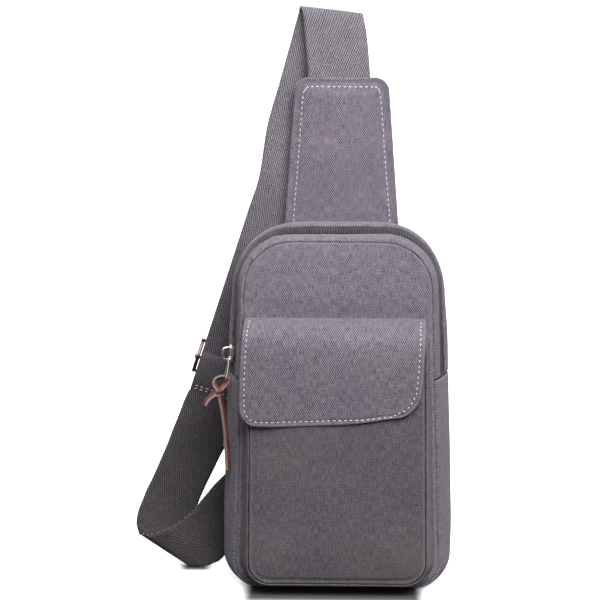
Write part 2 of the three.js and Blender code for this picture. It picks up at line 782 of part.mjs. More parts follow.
buildBody();
buildMainZip();
buildSlider(["main_slider", "main_pull"], mainSlider, mainPull, zipCentre, sliderHeight, mainPullLean);
buildLace();
buildRearZip();
buildPocket();
buildFlap();
buildPad();
buildWebbing();
buildBuckle();

export default bag;
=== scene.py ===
import math
import bmesh
import bpy
from mathutils import Matrix, Vector, noise
from mathutils.bvhtree import BVHTree


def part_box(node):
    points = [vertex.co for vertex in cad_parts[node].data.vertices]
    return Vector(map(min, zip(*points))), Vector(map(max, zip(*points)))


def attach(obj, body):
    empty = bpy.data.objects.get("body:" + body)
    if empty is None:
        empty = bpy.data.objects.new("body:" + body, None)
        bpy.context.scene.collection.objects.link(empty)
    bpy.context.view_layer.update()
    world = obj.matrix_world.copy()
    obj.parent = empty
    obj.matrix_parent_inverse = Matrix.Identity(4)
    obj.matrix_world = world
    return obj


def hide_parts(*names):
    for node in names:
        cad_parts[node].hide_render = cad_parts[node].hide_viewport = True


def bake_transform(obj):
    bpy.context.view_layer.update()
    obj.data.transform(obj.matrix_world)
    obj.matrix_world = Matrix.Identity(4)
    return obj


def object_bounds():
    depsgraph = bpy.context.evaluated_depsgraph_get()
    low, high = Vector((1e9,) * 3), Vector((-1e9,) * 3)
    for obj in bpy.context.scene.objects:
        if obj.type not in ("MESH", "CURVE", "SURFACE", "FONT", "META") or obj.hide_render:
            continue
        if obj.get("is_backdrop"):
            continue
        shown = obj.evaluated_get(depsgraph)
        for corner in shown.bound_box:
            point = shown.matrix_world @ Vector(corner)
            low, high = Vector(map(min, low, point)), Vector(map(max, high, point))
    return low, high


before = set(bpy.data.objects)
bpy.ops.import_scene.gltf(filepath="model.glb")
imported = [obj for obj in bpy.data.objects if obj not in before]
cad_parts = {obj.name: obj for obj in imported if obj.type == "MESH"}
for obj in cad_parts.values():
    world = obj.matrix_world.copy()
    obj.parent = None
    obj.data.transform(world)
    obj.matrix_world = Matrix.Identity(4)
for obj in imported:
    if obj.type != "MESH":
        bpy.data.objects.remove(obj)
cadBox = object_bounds()
scene = bpy.context.scene


camera = {"azimuth": 1.5, "elevation": 12, "distance": 1.75, "target": (-0.0309, 0, 0.2325), "width": 0.484}


# the view of the object as it stands
def makeCamera():
    turn = math.radians(camera["azimuth"])
    tilt = math.radians(camera["elevation"])
    back = Vector((math.sin(turn) * math.cos(tilt), -math.cos(turn) * math.cos(tilt), math.sin(tilt)))
    data = bpy.data.cameras.new("camera")
    data.sensor_width = 36
    data.lens = 36 * camera["distance"] / camera["width"]
    obj = bpy.data.objects.new("camera", data)
    scene.collection.objects.link(obj)
    obj.location = Vector(camera["target"]) + back * camera["distance"]
    obj.rotation_euler = back.to_track_quat("Z", "Y").to_euler()
    scene.camera = obj


makeCamera()


def showMesh(name, mesh, material):
    obj = bpy.data.objects.new(name, mesh)
    scene.collection.objects.link(obj)
    obj.data.materials.append(material)
    for face in mesh.polygons:
        face.use_smooth = True
    return obj


def meshFrom(name, bm, material):
    mesh = bpy.data.meshes.new(name)
    bm.to_mesh(mesh)
    bm.free()
    return showMesh(name, mesh, material)


def settle(obj):  # applies the modifiers
    graph = bpy.context.evaluated_depsgraph_get()
    mesh = bpy.data.meshes.new_from_object(obj.evaluated_get(graph), depsgraph=graph)
    old = obj.data
    obj.modifiers.clear()
    obj.data = mesh
    bpy.data.meshes.remove(old)
    return obj


def thicken(obj, thickness, offset=-1):
    solid = obj.modifiers.new("thickness", "SOLIDIFY")
    solid.thickness = thickness
    solid.offset = offset
    return settle(obj)


# place(u, w) is a point in space, flat(u, w) the same point on the cloth, and the last function how strongly
# the cloth takes its second colour there: edge wear with a painted rim highlight, a painted shadow on the
# upper webbing, painted light on the fold at the buckle
def clothGrid(name, columns, rows, place, flat, material, facing, wearAndPaintedLight=None):
    bm = bmesh.new()
    bmesh.ops.create_grid(bm, x_segments=columns, y_segments=rows, size=0.5)
    weave = bm.loops.layers.uv.new("cloth")
    for face in bm.faces:
        for loop in face.loops:
            loop[weave].uv = flat(loop.vert.co.x + 0.5, loop.vert.co.y + 0.5)
    rubbedAndPaintedLight = bm.verts.layers.float.new("wearAndPaintedLight")
    for vert in bm.verts:
        u, w = vert.co.x + 0.5, vert.co.y + 0.5
        vert[rubbedAndPaintedLight] = wearAndPaintedLight(u, w) if wearAndPaintedLight else 0
        vert.co = place(u, w)
    bm.normal_update()
    middle = bm.faces[:]
    lean = sum((face.normal.dot(facing(face.calc_center_median())) for face in middle))
    if lean < 0:
        bmesh.ops.reverse_faces(bm, faces=middle)
    return meshFrom(name, bm, material)


def alongPath(points, count):  # a smooth path through the points, as evenly spaced places
    ends = [points[0] * 2 - points[1], *points, points[-1] * 2 - points[-2]]
    fine = []
    for k in range(1, len(ends) - 2):
        a, b, c, d = ends[k - 1:k + 3]
        for step in range(16):
            t = step / 16
            fine.append(((b * 2) + (c - a) * t + (a * 2 - b * 5 + c * 4 - d) * t ** 2
                         + (b * 3 - a - c * 3 + d) * t ** 3) / 2)
    fine.append(points[-1].copy())
    return evenly(fine, count)


def evenly(fine, count):
    lengths = [0]
    for a, b in zip(fine, fine[1:]):
        lengths.append(lengths[-1] + (b - a).length)
    spots, k = [], 0
    for i in range(count + 1):
        want = lengths[-1] * i / count
        while k < len(fine) - 2 and lengths[k + 1] < want:
            k += 1
        span = max(lengths[k + 1] - lengths[k], 1e-9)
        spots.append(fine[k].lerp(fine[k + 1], min((want - lengths[k]) / span, 1)))
    return spots


def pathLength(points):
    return sum((b - a).length for a, b in zip(points, points[1:]))


def smoothStep(value, low, high):
    t = min(max((value - low) / (high - low), 0), 1)
    return t * t * (3 - 2 * t)


def rolled(distance, radius):  # how far a rounded edge falls away at a distance from it
    t = min(max(distance / radius, 0), 1)
    return radius * (1 - math.sqrt(1 - (1 - t) ** 2))


def ripple(x, y, z, size, seed=0):
    return noise.noise(Vector((x / size + seed, y / size, z / size)))


def ribbonMesh(name, spots, sides, width, thickness, material, across=12, waves=0.0, wearAndPaintedLight=None):
    count = len(spots) - 1
    length = pathLength(spots)
    outs = []
    for i, spot in enumerate(spots):
        along = spots[min(i + 1, count)] - spots[max(i - 1, 0)]
        outs.append(along.cross(sides[i]).normalized())

    def place(u, w):
        i = round(w * count)
        half = width / 2 + waves * (1 if i % 2 else -1)
        return spots[i] + sides[i] * ((2 * u - 1) * half)

    def face(spot):
        near = min(range(0, count + 1, 4), key=lambda i: (spots[i] - spot).length_squared)
        return outs[near]

    obj = clothGrid(name, across, count, place, lambda u, w: (u * width, w * length), material, face, wearAndPaintedLight)
    return thicken(obj, thickness, 0)


def tubeMesh(name, points, radius, material, cyclic=False, sides=4):
    curve = bpy.data.curves.new(name, "CURVE")
    curve.dimensions = "3D"
    curve.bevel_depth = radius
    curve.bevel_resolution = sides
    curve.use_fill_caps = True
    line = curve.splines.new("POLY")
    line.points.add(len(points) - 1)
    line.use_cyclic_u = cyclic
    for spot, point in zip(points, line.points):
        point.co = (*spot, 1)
    obj = bpy.data.objects.new(name, curve)
    scene.collection.objects.link(obj)
    graph = bpy.context.evaluated_depsgraph_get()
    mesh = bpy.data.meshes.new_from_object(obj.evaluated_get(graph), depsgraph=graph)
    bpy.data.objects.remove(obj)
    bm = bmesh.new()
    bm.from_mesh(mesh)
    bpy.data.meshes.remove(mesh)
    bmesh.ops.remove_doubles(bm, verts=bm.verts, dist=1e-7)
    bmesh.ops.recalc_face_normals(bm, faces=bm.faces)
    return meshFrom(name, bm, material)


def joinPieces(name, pieces):
    bm = bmesh.new()
    for piece in pieces:
        bm.from_mesh(piece.data)
    material = pieces[0].data.materials[0]
    for piece in pieces:
        bpy.data.objects.remove(piece)
    return meshFrom(name, bm, material)


def addNode(tree, kind, values=None, **settings):
    node = tree.nodes.new(kind)
    for name, value in settings.items():
        setattr(node, name, value)
    for socket, value in (values or {}).items():
        if isinstance(value, bpy.types.NodeSocket):
            tree.links.new(value, node.inputs[socket])
        else:
            node.inputs[socket].default_value = value
    return node


def calc(tree, operation, *values, clamp=False):
    return addNode(tree, "ShaderNodeMath", dict(enumerate(values)), operation=operation,
                   use_clamp=clamp).outputs[0]


def times(tree, first, second):
    return calc(tree, "MULTIPLY", first, second)


def plus(tree, first, second):
    return calc(tree, "ADD", first, second)


def blendColour(tree, factor, first, second, blend="MIX"):
    node = addNode(tree, "ShaderNodeMix", {0: factor, 6: first, 7: second}, data_type="RGBA",
                   blend_type=blend)
    return node.outputs[2]


def newGroup(name, inputs, outputs):
    tree = bpy.data.node_groups.new(name, "ShaderNodeTree")
    for label, kind, value in inputs:
        socket = tree.interface.new_socket(name=label, in_out="INPUT", socket_type=kind)
        if value is not None:
            socket.default_value = value
    for label in outputs:
        tree.interface.new_socket(name=label, in_out="OUTPUT", socket_type="NodeSocketFloat")
    return tree, addNode(tree, "NodeGroupInput").outputs, addNode(tree, "NodeGroupOutput")


def makeWeave():  # crossing threads, with the step of a plain weave or a twill
    tree, given, out = newGroup("weave", [
        ("Vector", "NodeSocketVector", None),
        ("Across", "NodeSocketFloat", 1000.0), ("Along", "NodeSocketFloat", 1000.0),
        ("Repeat", "NodeSocketFloat", 2.0),
    ], ["Height", "Over"])
    spot = addNode(tree, "ShaderNodeSeparateXYZ", {0: given["Vector"]})
    x = times(tree, spot.outputs[0], given["Across"])
    y = times(tree, spot.outputs[1], given["Along"])
    step = plus(tree, calc(tree, "FLOOR", x), calc(tree, "FLOOR", y))
    over = calc(tree, "LESS_THAN", calc(tree, "FLOORED_MODULO", step, given["Repeat"]),
                times(tree, given["Repeat"], 0.5))
    roundX = calc(tree, "ABSOLUTE", calc(tree, "SINE", times(tree, x, math.pi)))
    roundY = calc(tree, "ABSOLUTE", calc(tree, "SINE", times(tree, y, math.pi)))
    warp = times(tree, calc(tree, "POWER", roundX, 0.7), calc(tree, "MULTIPLY_ADD", over, 0.65, 0.35))
    weft = times(tree, calc(tree, "POWER", roundY, 0.7), calc(tree, "MULTIPLY_ADD", over, -0.65, 1.0))
    height = calc(tree, "MAXIMUM", warp, weft)
    tree.links.new(height, out.inputs["Height"])
    tree.links.new(over, out.inputs["Over"])
    return tree


def makeDots():  # rows of short floats, each row set off from the next
    tree, given, out = newGroup("dots", [
        ("Vector", "NodeSocketVector", None),
        ("Across", "NodeSocketFloat", 500.0), ("Along", "NodeSocketFloat", 500.0),
    ], ["Height"])
    spot = addNode(tree, "ShaderNodeSeparateXYZ", {0: given["Vector"]})
    turns = [times(tree, times(tree, spot.outputs[k], given[label]), math.pi)
             for k, label in enumerate(("Across", "Along"))]
    x, y = [calc(tree, "COSINE", turn) for turn in turns]
    height = calc(tree, "MULTIPLY_ADD", times(tree, x, y), 0.5, 0.5)
    tree.links.new(height, out.inputs["Height"])
    return tree


def makeSlub():  # threads that vary in thickness and shade along their run
    tree, given, out = newGroup("slub", [
        ("Vector", "NodeSocketVector", None),
        ("Scale", "NodeSocketFloat", 1000.0), ("Stretch", "NodeSocketFloat", 0.15),
    ], ["Warp", "Weft", "Fleck"])
    spot = addNode(tree, "ShaderNodeSeparateXYZ", {0: given["Vector"]})
    long = times(tree, given["Scale"], given["Stretch"])

    def streak(xScale, yScale, lift):
        x, y = times(tree, spot.outputs[0], xScale), times(tree, spot.outputs[1], yScale)
        place = addNode(tree, "ShaderNodeCombineXYZ", {0: x, 1: y, 2: lift})
        return addNode(tree, "ShaderNodeTexNoise", {"Vector": place.outputs[0], "Scale": 1.0, "Detail": 1.5,
                                                    "Roughness": 0.6}).outputs["Fac"]

    tree.links.new(streak(given["Scale"], long, 0.0), out.inputs["Warp"])
    tree.links.new(streak(long, given["Scale"], 7.0), out.inputs["Weft"])
    tree.links.new(streak(given["Scale"], given["Scale"], 13.0), out.inputs["Fleck"])
    return tree


def makeFading():  # the clouds of a washed cloth
    tree, given, out = newGroup("fading", [
        ("Vector", "NodeSocketVector", None),
        ("Scale", "NodeSocketFloat", 20.0),
    ], ["Cloud", "Patch"])
    cloud = addNode(tree, "ShaderNodeTexNoise", {"Vector": given["Vector"], "Scale": given["Scale"],
                                                 "Detail": 3.0, "Roughness": 0.55})
    patch = addNode(tree, "ShaderNodeTexNoise", {
        "Vector": given["Vector"], "Scale": times(tree, given["Scale"], 6.0), "Detail": 2.0,
        "Roughness": 0.6})
    tree.links.new(cloud.outputs["Fac"], out.inputs["Cloud"])
    tree.links.new(patch.outputs["Fac"], out.inputs["Patch"])
    return tree


groups = {"weave": makeWeave(), "dots": makeDots(), "slub": makeSlub(), "fading": makeFading()}


def useGroup(tree, name, **values):
    node = addNode(tree, "ShaderNodeGroup", node_tree=groups[name])
    for label, value in values.items():
        if isinstance(value, bpy.types.NodeSocket):
            tree.links.new(value, node.inputs[label])
        else:
            node.inputs[label].default_value = value
    return node.outputs


def fromScreen(red, green, blue):
    def one(value):
        value /= 255
        return value / 12.92 if value <= 0.04045 else ((value + 0.055) / 1.055) ** 2.4
    return (one(red), one(green), one(blue), 1)


def newMaterial(name, **sockets):
    material = bpy.data.materials.new(name)
    material.use_nodes = True
    tree = material.node_tree
    shader = tree.nodes["Principled BSDF"]
    for label, value in sockets.items():
        shader.inputs[label.replace("_", " ")].default_value = value
    return material, tree, shader


# a woven cloth: look gives its two shades, threads in a metre, twill, and how strong each effect is
def wovenMaterial(name, look):
    material, tree, shader = newMaterial(name, Roughness=look["roughness"], Sheen_Weight=look["sheen"],
                                         Sheen_Roughness=0.6, Specular_IOR_Level=0.2)
    flat = addNode(tree, "ShaderNodeUVMap", uv_map="cloth").outputs[0]
    solid = addNode(tree, "ShaderNodeTexCoord").outputs["Object"]
    if look["repeat"]:
        weave = useGroup(tree, "weave", Vector=flat, Across=look["across"], Along=look["along"],
                         Repeat=look["repeat"])
    else:
        weave = useGroup(tree, "dots", Vector=flat, Across=look["across"], Along=look["along"])
    slub = useGroup(tree, "slub", Vector=flat, Scale=look["slub"], Stretch=look["stretch"])
    fading = useGroup(tree, "fading", Vector=solid, Scale=look["cloud"])
    grain = plus(tree, times(tree, slub["Warp"], 0.6), times(tree, slub["Weft"], 0.4))
    grain = calc(tree, "MULTIPLY_ADD", calc(tree, "SUBTRACT", grain, 0.5), look["grain"], 0.5)
    fleck = times(tree, calc(tree, "SUBTRACT", slub["Fleck"], 0.5), look["fleck"])
    cloud = times(tree, calc(tree, "SUBTRACT", fading["Cloud"], 0.5), look["fade"])
    patch = times(tree, calc(tree, "SUBTRACT", fading["Patch"], 0.5), look["fade"] * 0.6)
    # the colour darkens in the hollows between threads, following the weave's height: painted shade
    weaveShade = times(tree, calc(tree, "SUBTRACT", weave["Height"], look["level"]), look["weaveShadeStrength"])
    marks = plus(tree, cloud, plus(tree, patch, weaveShade))
    shade = calc(tree, "ADD", plus(tree, grain, fleck), marks, clamp=True)
    colour = blendColour(tree, shade, look["dark"], look["light"])
    # the attribute blends in a second colour: paler cut edges from wear and a painted rim highlight; on the
    # upper webbing a painted shadow, on the lower webbing painted light
    wearAndPaintedLight = addNode(tree, "ShaderNodeAttribute", attribute_name="wearAndPaintedLight").outputs["Fac"]
    wearAndPaintedLight = times(tree, wearAndPaintedLight, calc(tree, "MULTIPLY_ADD", slub["Fleck"], 1.6, -0.2, clamp=True))
    colour = blendColour(tree, times(tree, wearAndPaintedLight, 0.75), colour, look["rubbedAndPaintedLight"])
    warmth = calc(tree, "MULTIPLY_ADD", fading["Cloud"], 2.4, -0.7, clamp=True)
    tint = blendColour(tree, warmth, (0.98, 1.0, 1.03, 1), (1.02, 0.995, 0.99, 1))
    colour = blendColour(tree, 1.0, colour, tint, "MULTIPLY")
    tree.links.new(colour, shader.inputs["Base Color"])
    height = plus(tree, times(tree, weave["Height"], 0.6), times(tree, slub["Fleck"], 0.5))
    height = plus(tree, height, times(tree, slub["Warp"], 0.5))
    bump = addNode(tree, "ShaderNodeBump", {"Height": height, "Strength": look["bump"],
                                            "Distance": look["depth"]})
    tree.links.new(bump.outputs[0], shader.inputs["Normal"])
    return material


# the paler third colour lightens the cut edges: edge wear and a painted rim highlight
canvasLook = {
    "dark": fromScreen(46, 41, 49), "light": fromScreen(150, 142, 154), "rubbedAndPaintedLight": fromScreen(172, 164, 174),
    "roughness": 0.93, "sheen": 0.15, "across": 1120, "along": 740, "repeat": 0, "slub": 1150,
    "stretch": 0.14,
    "cloud": 16, "grain": 2.1, "fleck": 1.2, "fade": 0.32, "weaveShadeStrength": 1.15, "level": 0.5, "bump": 0.7,
    "depth": 0.0005,
}
# the pocket's canvas is a darker copy of the body canvas: painted shade below the flap; its paler third
# colour marks the pocket's cut edges as wear and a painted rim highlight
pocketPaintedShadeLook = {
    **canvasLook, "dark": fromScreen(34, 30, 34), "light": fromScreen(117, 110, 116),
    "rubbedAndPaintedLight": fromScreen(146, 138, 146),
}
# the flap's canvas is a slightly darker copy of the body canvas: painted shade to hold down its brighter top
# that faces the light
flapPaintedShadeLook = {**canvasLook, "dark": fromScreen(42, 38, 45), "light": fromScreen(141, 134, 145)}
liningLook = {
    **canvasLook, "dark": fromScreen(62, 60, 65), "light": fromScreen(96, 94, 100), "roughness": 0.75,
    "sheen": 0.05,
    "across": 2400, "along": 2400, "repeat": 4, "level": 0.75, "slub": 1600, "grain": 0.8, "fleck": 0.3,
    "fade": 0.3,
    "depth": 0.0002,
}
# the third colour is a near-black painted shadow, laid on the upper strand towards the buckle
webbingLook = {
    **canvasLook, "dark": fromScreen(34, 30, 34), "light": fromScreen(188, 180, 190),
    "rubbedAndPaintedLight": fromScreen(26, 22, 24),
    "roughness": 0.9, "sheen": 0.1, "across": 1050, "along": 520, "repeat": 0, "slub": 700, "stretch": 0.3,
    "grain": 0.7,
    "fleck": 0.7, "fade": 0.3, "weaveShadeStrength": 1.1, "level": 0.66, "bump": 0.9, "depth": 0.0007,
}
# a darker copy of the webbing: painted shade on the lower strand and the return loop; its paler third colour
# is painted light on the fold at the buckle
paintedShadeWebbingLook = {
    **webbingLook, "dark": fromScreen(22, 20, 21), "light": fromScreen(108, 102, 106),
    "rubbedAndPaintedLight": fromScreen(138, 130, 140),
}
# the zip tape is dark, and pushed near-black so that it also gives painted shade lines along the edges of the
# zip opening
tapePaintedShadeLook = {
    **canvasLook, "dark": fromScreen(6, 6, 7), "light": fromScreen(26, 25, 27), "roughness": 0.8,
    "sheen": 0.05,
    "across": 1500, "along": 1500, "repeat": 4, "level": 0.75, "slub": 1200, "grain": 0.8, "fleck": 0.3,
    "fade": 0.1, "depth": 0.0003,
}

canvas = wovenMaterial("washedCanvas", canvasLook)
pocketPaintedShadeCanvas = wovenMaterial("pocketPaintedShadeCanvas", pocketPaintedShadeLook)
flapPaintedShadeCanvas = wovenMaterial("flapPaintedShadeCanvas", flapPaintedShadeLook)
lining = wovenMaterial("lining", liningLook)
webbing = wovenMaterial("cottonWebbing", webbingLook)
paintedShadeWebbing = wovenMaterial("webbingPaintedShade", paintedShadeWebbingLook)
zipTape = wovenMaterial("zipTape", tapePaintedShadeLook)


def leatherMaterial():
    material, tree, shader = newMaterial("laceLeather", Roughness=0.55, Specular_IOR_Level=0.4)
    solid = addNode(tree, "ShaderNodeTexCoord").outputs["Object"]
    fading = useGroup(tree, "fading", Vector=solid, Scale=90.0)
    pores = addNode(tree, "ShaderNodeTexVoronoi", {"Vector": solid, "Scale": 1600.0}).outputs["Distance"]
    colour = blendColour(tree, calc(tree, "MULTIPLY_ADD", fading["Cloud"], 2.4, -0.7, clamp=True),
                         fromScreen(62, 31, 24), fromScreen(126, 74, 52))
    across = addNode(tree, "ShaderNodeSeparateXYZ",
                     {0: addNode(tree, "ShaderNodeUVMap", uv_map="cloth").outputs[0]})
    flesh = addNode(tree, "ShaderNodeMapRange", {0: across.outputs[0], 1: 0.0013, 2: 0.0021, 3: 1.0,
                                                 4: 0.0}).outputs[0]
    colour = blendColour(tree, times(tree, flesh, 0.85), colour, fromScreen(150, 128, 126))
    tree.links.new(colour, shader.inputs["Base Color"])
    height = plus(tree, times(tree, pores, 0.6), fading["Patch"])
    bump = addNode(tree, "ShaderNodeBump", {"Height": height, "Strength": 0.5, "Distance": 0.0003})
    tree.links.new(bump.outputs[0], shader.inputs["Normal"])
    return material


def metalMaterial(name, clean, wearAndPaintedLight, roughness, scratch):
    material, tree, shader = newMaterial(name, Metallic=1.0)
    solid = addNode(tree, "ShaderNodeTexCoord").outputs["Object"]
    fading = useGroup(tree, "fading", Vector=solid, Scale=140.0)
    tree.links.new(blendColour(tree, fading["Cloud"], clean, wearAndPaintedLight), shader.inputs["Base Color"])
    tree.links.new(calc(tree, "MULTIPLY_ADD", fading["Patch"], scratch, roughness),
                   shader.inputs["Roughness"])
    bump = addNode(tree, "ShaderNodeBump", {"Height": fading["Patch"], "Strength": 0.15, "Distance": 0.0002})
    tree.links.new(bump.outputs[0], shader.inputs["Normal"])
    return material


def threadMaterial(name, dark, light):
    material, tree, shader = newMaterial(name, Roughness=0.7, Sheen_Weight=0.1)
    solid = addNode(tree, "ShaderNodeTexCoord").outputs["Object"]
    ply = addNode(tree, "ShaderNodeTexWave", {"Vector": solid, "Scale": 900.0, "Distortion": 1.0},
                  bands_direction="DIAGONAL").outputs["Fac"]
    tree.links.new(blendColour(tree, ply, dark, light), shader.inputs["Base Color"])
    bump = addNode(tree, "ShaderNodeBump", {"Height": ply, "Strength": 0.4, "Distance": 0.0002})
    tree.links.new(bump.outputs[0], shader.inputs["Normal"])
    return material


def coilMaterial():
    material, tree, shader = newMaterial("nylonCoil", Roughness=0.34)
    solid = addNode(tree, "ShaderNodeTexCoord").outputs["Object"]
    fading = useGroup(tree, "fading", Vector=solid, Scale=120.0)
    tree.links.new(blendColour(tree, fading["Cloud"], fromScreen(26, 25, 27), fromScreen(94, 91, 97)),
                   shader.inputs["Base Color"])
    return material


leather = leatherMaterial()
silver = metalMaterial("brightNickel", fromScreen(226, 224, 220), fromScreen(196, 193, 190), 0.16, 0.2)
darkMetal = metalMaterial("darkBronze", fromScreen(96, 84, 76), fromScreen(62, 54, 50), 0.22, 0.3)
paleThread = threadMaterial("paleThread", fromScreen(178, 172, 178), fromScreen(232, 228, 230))
darkThread = threadMaterial("darkThread", fromScreen(58, 53, 58), fromScreen(98, 92, 98))
coilNylon = coilMaterial()
print("materials made")


lace = {
    "width": 0.0044,
    "thickness": 0.0017,
    "bar": (-0.0906, -0.0225, 0.1723),
    "loop": [(-97.3, -25.1, 165.3), (-98.9, -24.5, 168.2), (-98.1, -23.7, 171.6), (-94.7, -22.9, 173.7),
             (-90.7, -22.5, 174), (-88.1, -22.6, 172), (-89, -23.7, 168.8), (-92.5, -25.1, 165.5)],
    "knot": (-95.3, -25.7, 162),
    "shortTail": [(-95.6, -26.4, 162), (-98.6, -27.2, 160.6), (-102.3, -26.9, 158), (-105.3, -27.3, 155),
                  (-107.1, -27.5, 151.6)],
    "longTail": [(-95, -26, 161), (-94.2, -26.7, 157.6), (-92.8, -27.9, 151), (-91.2, -28.7, 142),
                 (-90, -29.5, 131),
                 (-89.1, -30.1, 119), (-88.5, -30.5, 108), (-87.9, -30.7, 98.5)],
}


def fromMillimetres(points):
    return [Vector(spot) * 0.001 for spot in points]


def laceStrip(name, points, count, turnStart, turnEnd, flatWays=None):
    spots = alongPath(points, count)
    sides = []
    for i, spot in enumerate(spots):
        along = (spots[min(i + 1, count)] - spots[max(i - 1, 0)]).normalized()
        deep = Vector((0, 1, 0)) if flatWays is None else flatWays
        deep = (deep - along * deep.dot(along)).normalized()
        turn = math.radians(turnStart + (turnEnd - turnStart) * i / count)
        sides.append(deep * math.cos(turn) + along.cross(deep) * math.sin(turn))
    obj = ribbonMesh(name, spots, sides, lace["width"], lace["thickness"], leather, 6)
    edge = obj.modifiers.new("edge", "BEVEL")
    edge.width = 0.0004
    edge.segments = 2
    edge.limit_method = "ANGLE"
    return settle(obj), spots


def makeLace():
    knot = Vector(lace["knot"]) * 0.001
    loop = fromMillimetres(lace["loop"])
    long = fromMillimetres(lace["longTail"])
    down = [*loop[4::-1], knot + Vector((-0.0006, 0, 0.0012)), *long]
    main, spots = laceStrip("laceLong", down, 90, 38, 66)
    up = [*loop[4:], knot + Vector((0.0008, -0.0006, 0.001)), *fromMillimetres(lace["shortTail"])]
    short, _ = laceStrip("laceShort", up, 44, -38, -70)
    wrap = [knot + Vector((0.0026 * math.cos(turn), 0.0026 * math.sin(turn), 0.0012 * math.sin(turn + 0.6)))
            for turn in (k * math.pi / 6 for k in range(13))]
    band, _ = laceStrip("laceKnot", wrap, 40, 0, 0, Vector((0.35, 0, 1)))
    for piece in (main, short, band):
        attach(piece, "lace")
    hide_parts("lace_loop", "lace_long_tail")
    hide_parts("lace_short_tail")
    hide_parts("lace_knot")
    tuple(lace["bar"])
    pathLength(spots)
    [tuple(spot) for spot in spots[::3]]


makeLace()
print("lace made")


body = {
    "height": 0.290, "halfLow": 0.093, "halfHigh": 0.0855, "cornerLow": 0.021, "cornerHigh": 0.042,
    "back": 0.036, "front": -0.036, "backRound": 0.024, "backInset": 0.005, "frontRound": -0.002,
    "roundPower": 1.6,
    "sideInset": 0.009, "topInset": 0.0015, "bottomInset": 0.0015, "bulge": 0.0016,
    "cornerMore": 0.012,
}
cloth = {"canvas": 0.0012, "lining": 0.0006, "gap": 0.0003}
ply = cloth["canvas"] + cloth["gap"]


def shrink(form, side, top=None, bottom=None):
    top = side if top is None else top
    bottom = side if bottom is None else bottom
    return {
        "halfLow": form["halfLow"] - side, "halfHigh": form["halfHigh"] - side,
        "bottom": form["bottom"] + bottom, "top": form["top"] - top,
        "cornerLow": max(form["cornerLow"] - bottom * 0.5, 0.001),
        "cornerHigh": max(form["cornerHigh"] - top * 0.5, 0.001),
    }


def bodyFormAt(y):
    front = max(0, (body["frontRound"] - y) / (body["frontRound"] - body["front"])) ** body["roundPower"]
    rear = body["backInset"] * max(0, (y - body["backRound"]) / (body["back"] - body["backRound"])) ** 2
    whole = {"halfLow": body["halfLow"], "halfHigh": body["halfHigh"], "bottom": 0, "top": body["height"],
             "cornerLow": body["cornerLow"],
             "cornerHigh": body["cornerHigh"] + body["cornerMore"] * smoothStep(y, -0.03, 0.015)}
    return shrink(whole, front * body["sideInset"] + rear, front * body["topInset"] + rear,
                  front * body["bottomInset"] + rear)


# place is 0 at the middle of the bottom, 2 to 3 up the right side, 6 to 7 down the left, 9 at the bottom
def outlinePoint(form, place):
    s = place % 9
    if s > 4.5:
        x, z = outlinePoint(form, 9 - s)
        return -x, z
    k = int(s)
    part = s - k
    turn = part * math.pi / 2
    low, high = form["cornerLow"], form["cornerHigh"]
    sideLow, sideHigh = form["bottom"] + low, form["top"] - high
    flatLow, flatHigh = form["halfLow"] - low, form["halfHigh"] - high
    if k == 0:
        return flatLow * part, form["bottom"]
    if k == 1:
        return flatLow + low * math.sin(turn), sideLow - low * math.cos(turn)
    if k == 2:
        return (form["halfLow"] + (form["halfHigh"] - form["halfLow"]) * part,
                sideLow + (sideHigh - sideLow) * part)
    if k == 3:
        return flatHigh + high * math.cos(turn), sideHigh + high * math.sin(turn)
    return flatHigh * (1 - 2 * part), form["top"]


def rightAt(height):
    def place(form):
        low = form["bottom"] + form["cornerLow"]
        return 2 + (height - low) / (form["top"] - form["cornerHigh"] - low)
    return place


def leftAt(height):
    return lambda form: 9 - rightAt(height)(form)


def halfWidth(form, z):
    low, high = form["bottom"] + form["cornerLow"], form["top"] - form["cornerHigh"]
    if z < low:
        drop = min(low - z, form["cornerLow"])
        return form["halfLow"] - form["cornerLow"] + math.sqrt(form["cornerLow"] ** 2 - drop ** 2)
    if z > high:
        rise = min(z - high, form["cornerHigh"])
        return form["halfHigh"] - form["cornerHigh"] + math.sqrt(form["cornerHigh"] ** 2 - rise ** 2)
    return form["halfLow"] + (form["halfHigh"] - form["halfLow"]) * (z - low) / (high - low)


def insideBy(form, x, z):
    low, high = form["bottom"] + form["cornerLow"], form["top"] - form["cornerHigh"]
    if z < low and abs(x) > form["halfLow"] - form["cornerLow"]:
        return form["cornerLow"] - math.hypot(abs(x) - form["halfLow"] + form["cornerLow"], low - z)
    if z > high and abs(x) > form["halfHigh"] - form["cornerHigh"]:
        return form["cornerHigh"] - math.hypot(abs(x) - form["halfHigh"] + form["cornerHigh"], z - high)
    return min(halfWidth(form, z) - abs(x), z - form["bottom"], form["top"] - z)


def outlineRun(form, start, end, count):  # even points, each with the way it faces and its distance along
    fine = [Vector((*outlinePoint(form, start + (end - start) * k / 300), 0)) for k in range(301)]
    spots = evenly(fine, count)
    length = pathLength(fine)
    run = []
    for i, spot in enumerate(spots):
        along = (spots[min(i + 1, count)] - spots[max(i - 1, 0)]).normalized()
        run.append((spot.x, spot.y, along.y, -along.x, length * i / count))
    return run


def endsCloser(w, share=0.6):
    return w * (1 - share) + (0.5 - 0.5 * math.cos(math.pi * w)) * share


def raised(spot):  # the stuffed top stands up behind the front seam
    y = spot.y
    rise = max(y - body["front"], 0) / (top["crest"] - body["front"])
    fall = smoothStep(y, top["crest"], 0.03)
    lift = top["lift"] * min(rise, 1) ** 0.85 - (top["lift"] - top["backLift"]) * fall
    lift *= 1 - top["fall"] * min(abs(spot.x - top["peak"]) / 0.08, 1) ** 2
    return Vector((spot.x, y, spot.z + lift * smoothStep(spot.z, 0.24, 0.288)))


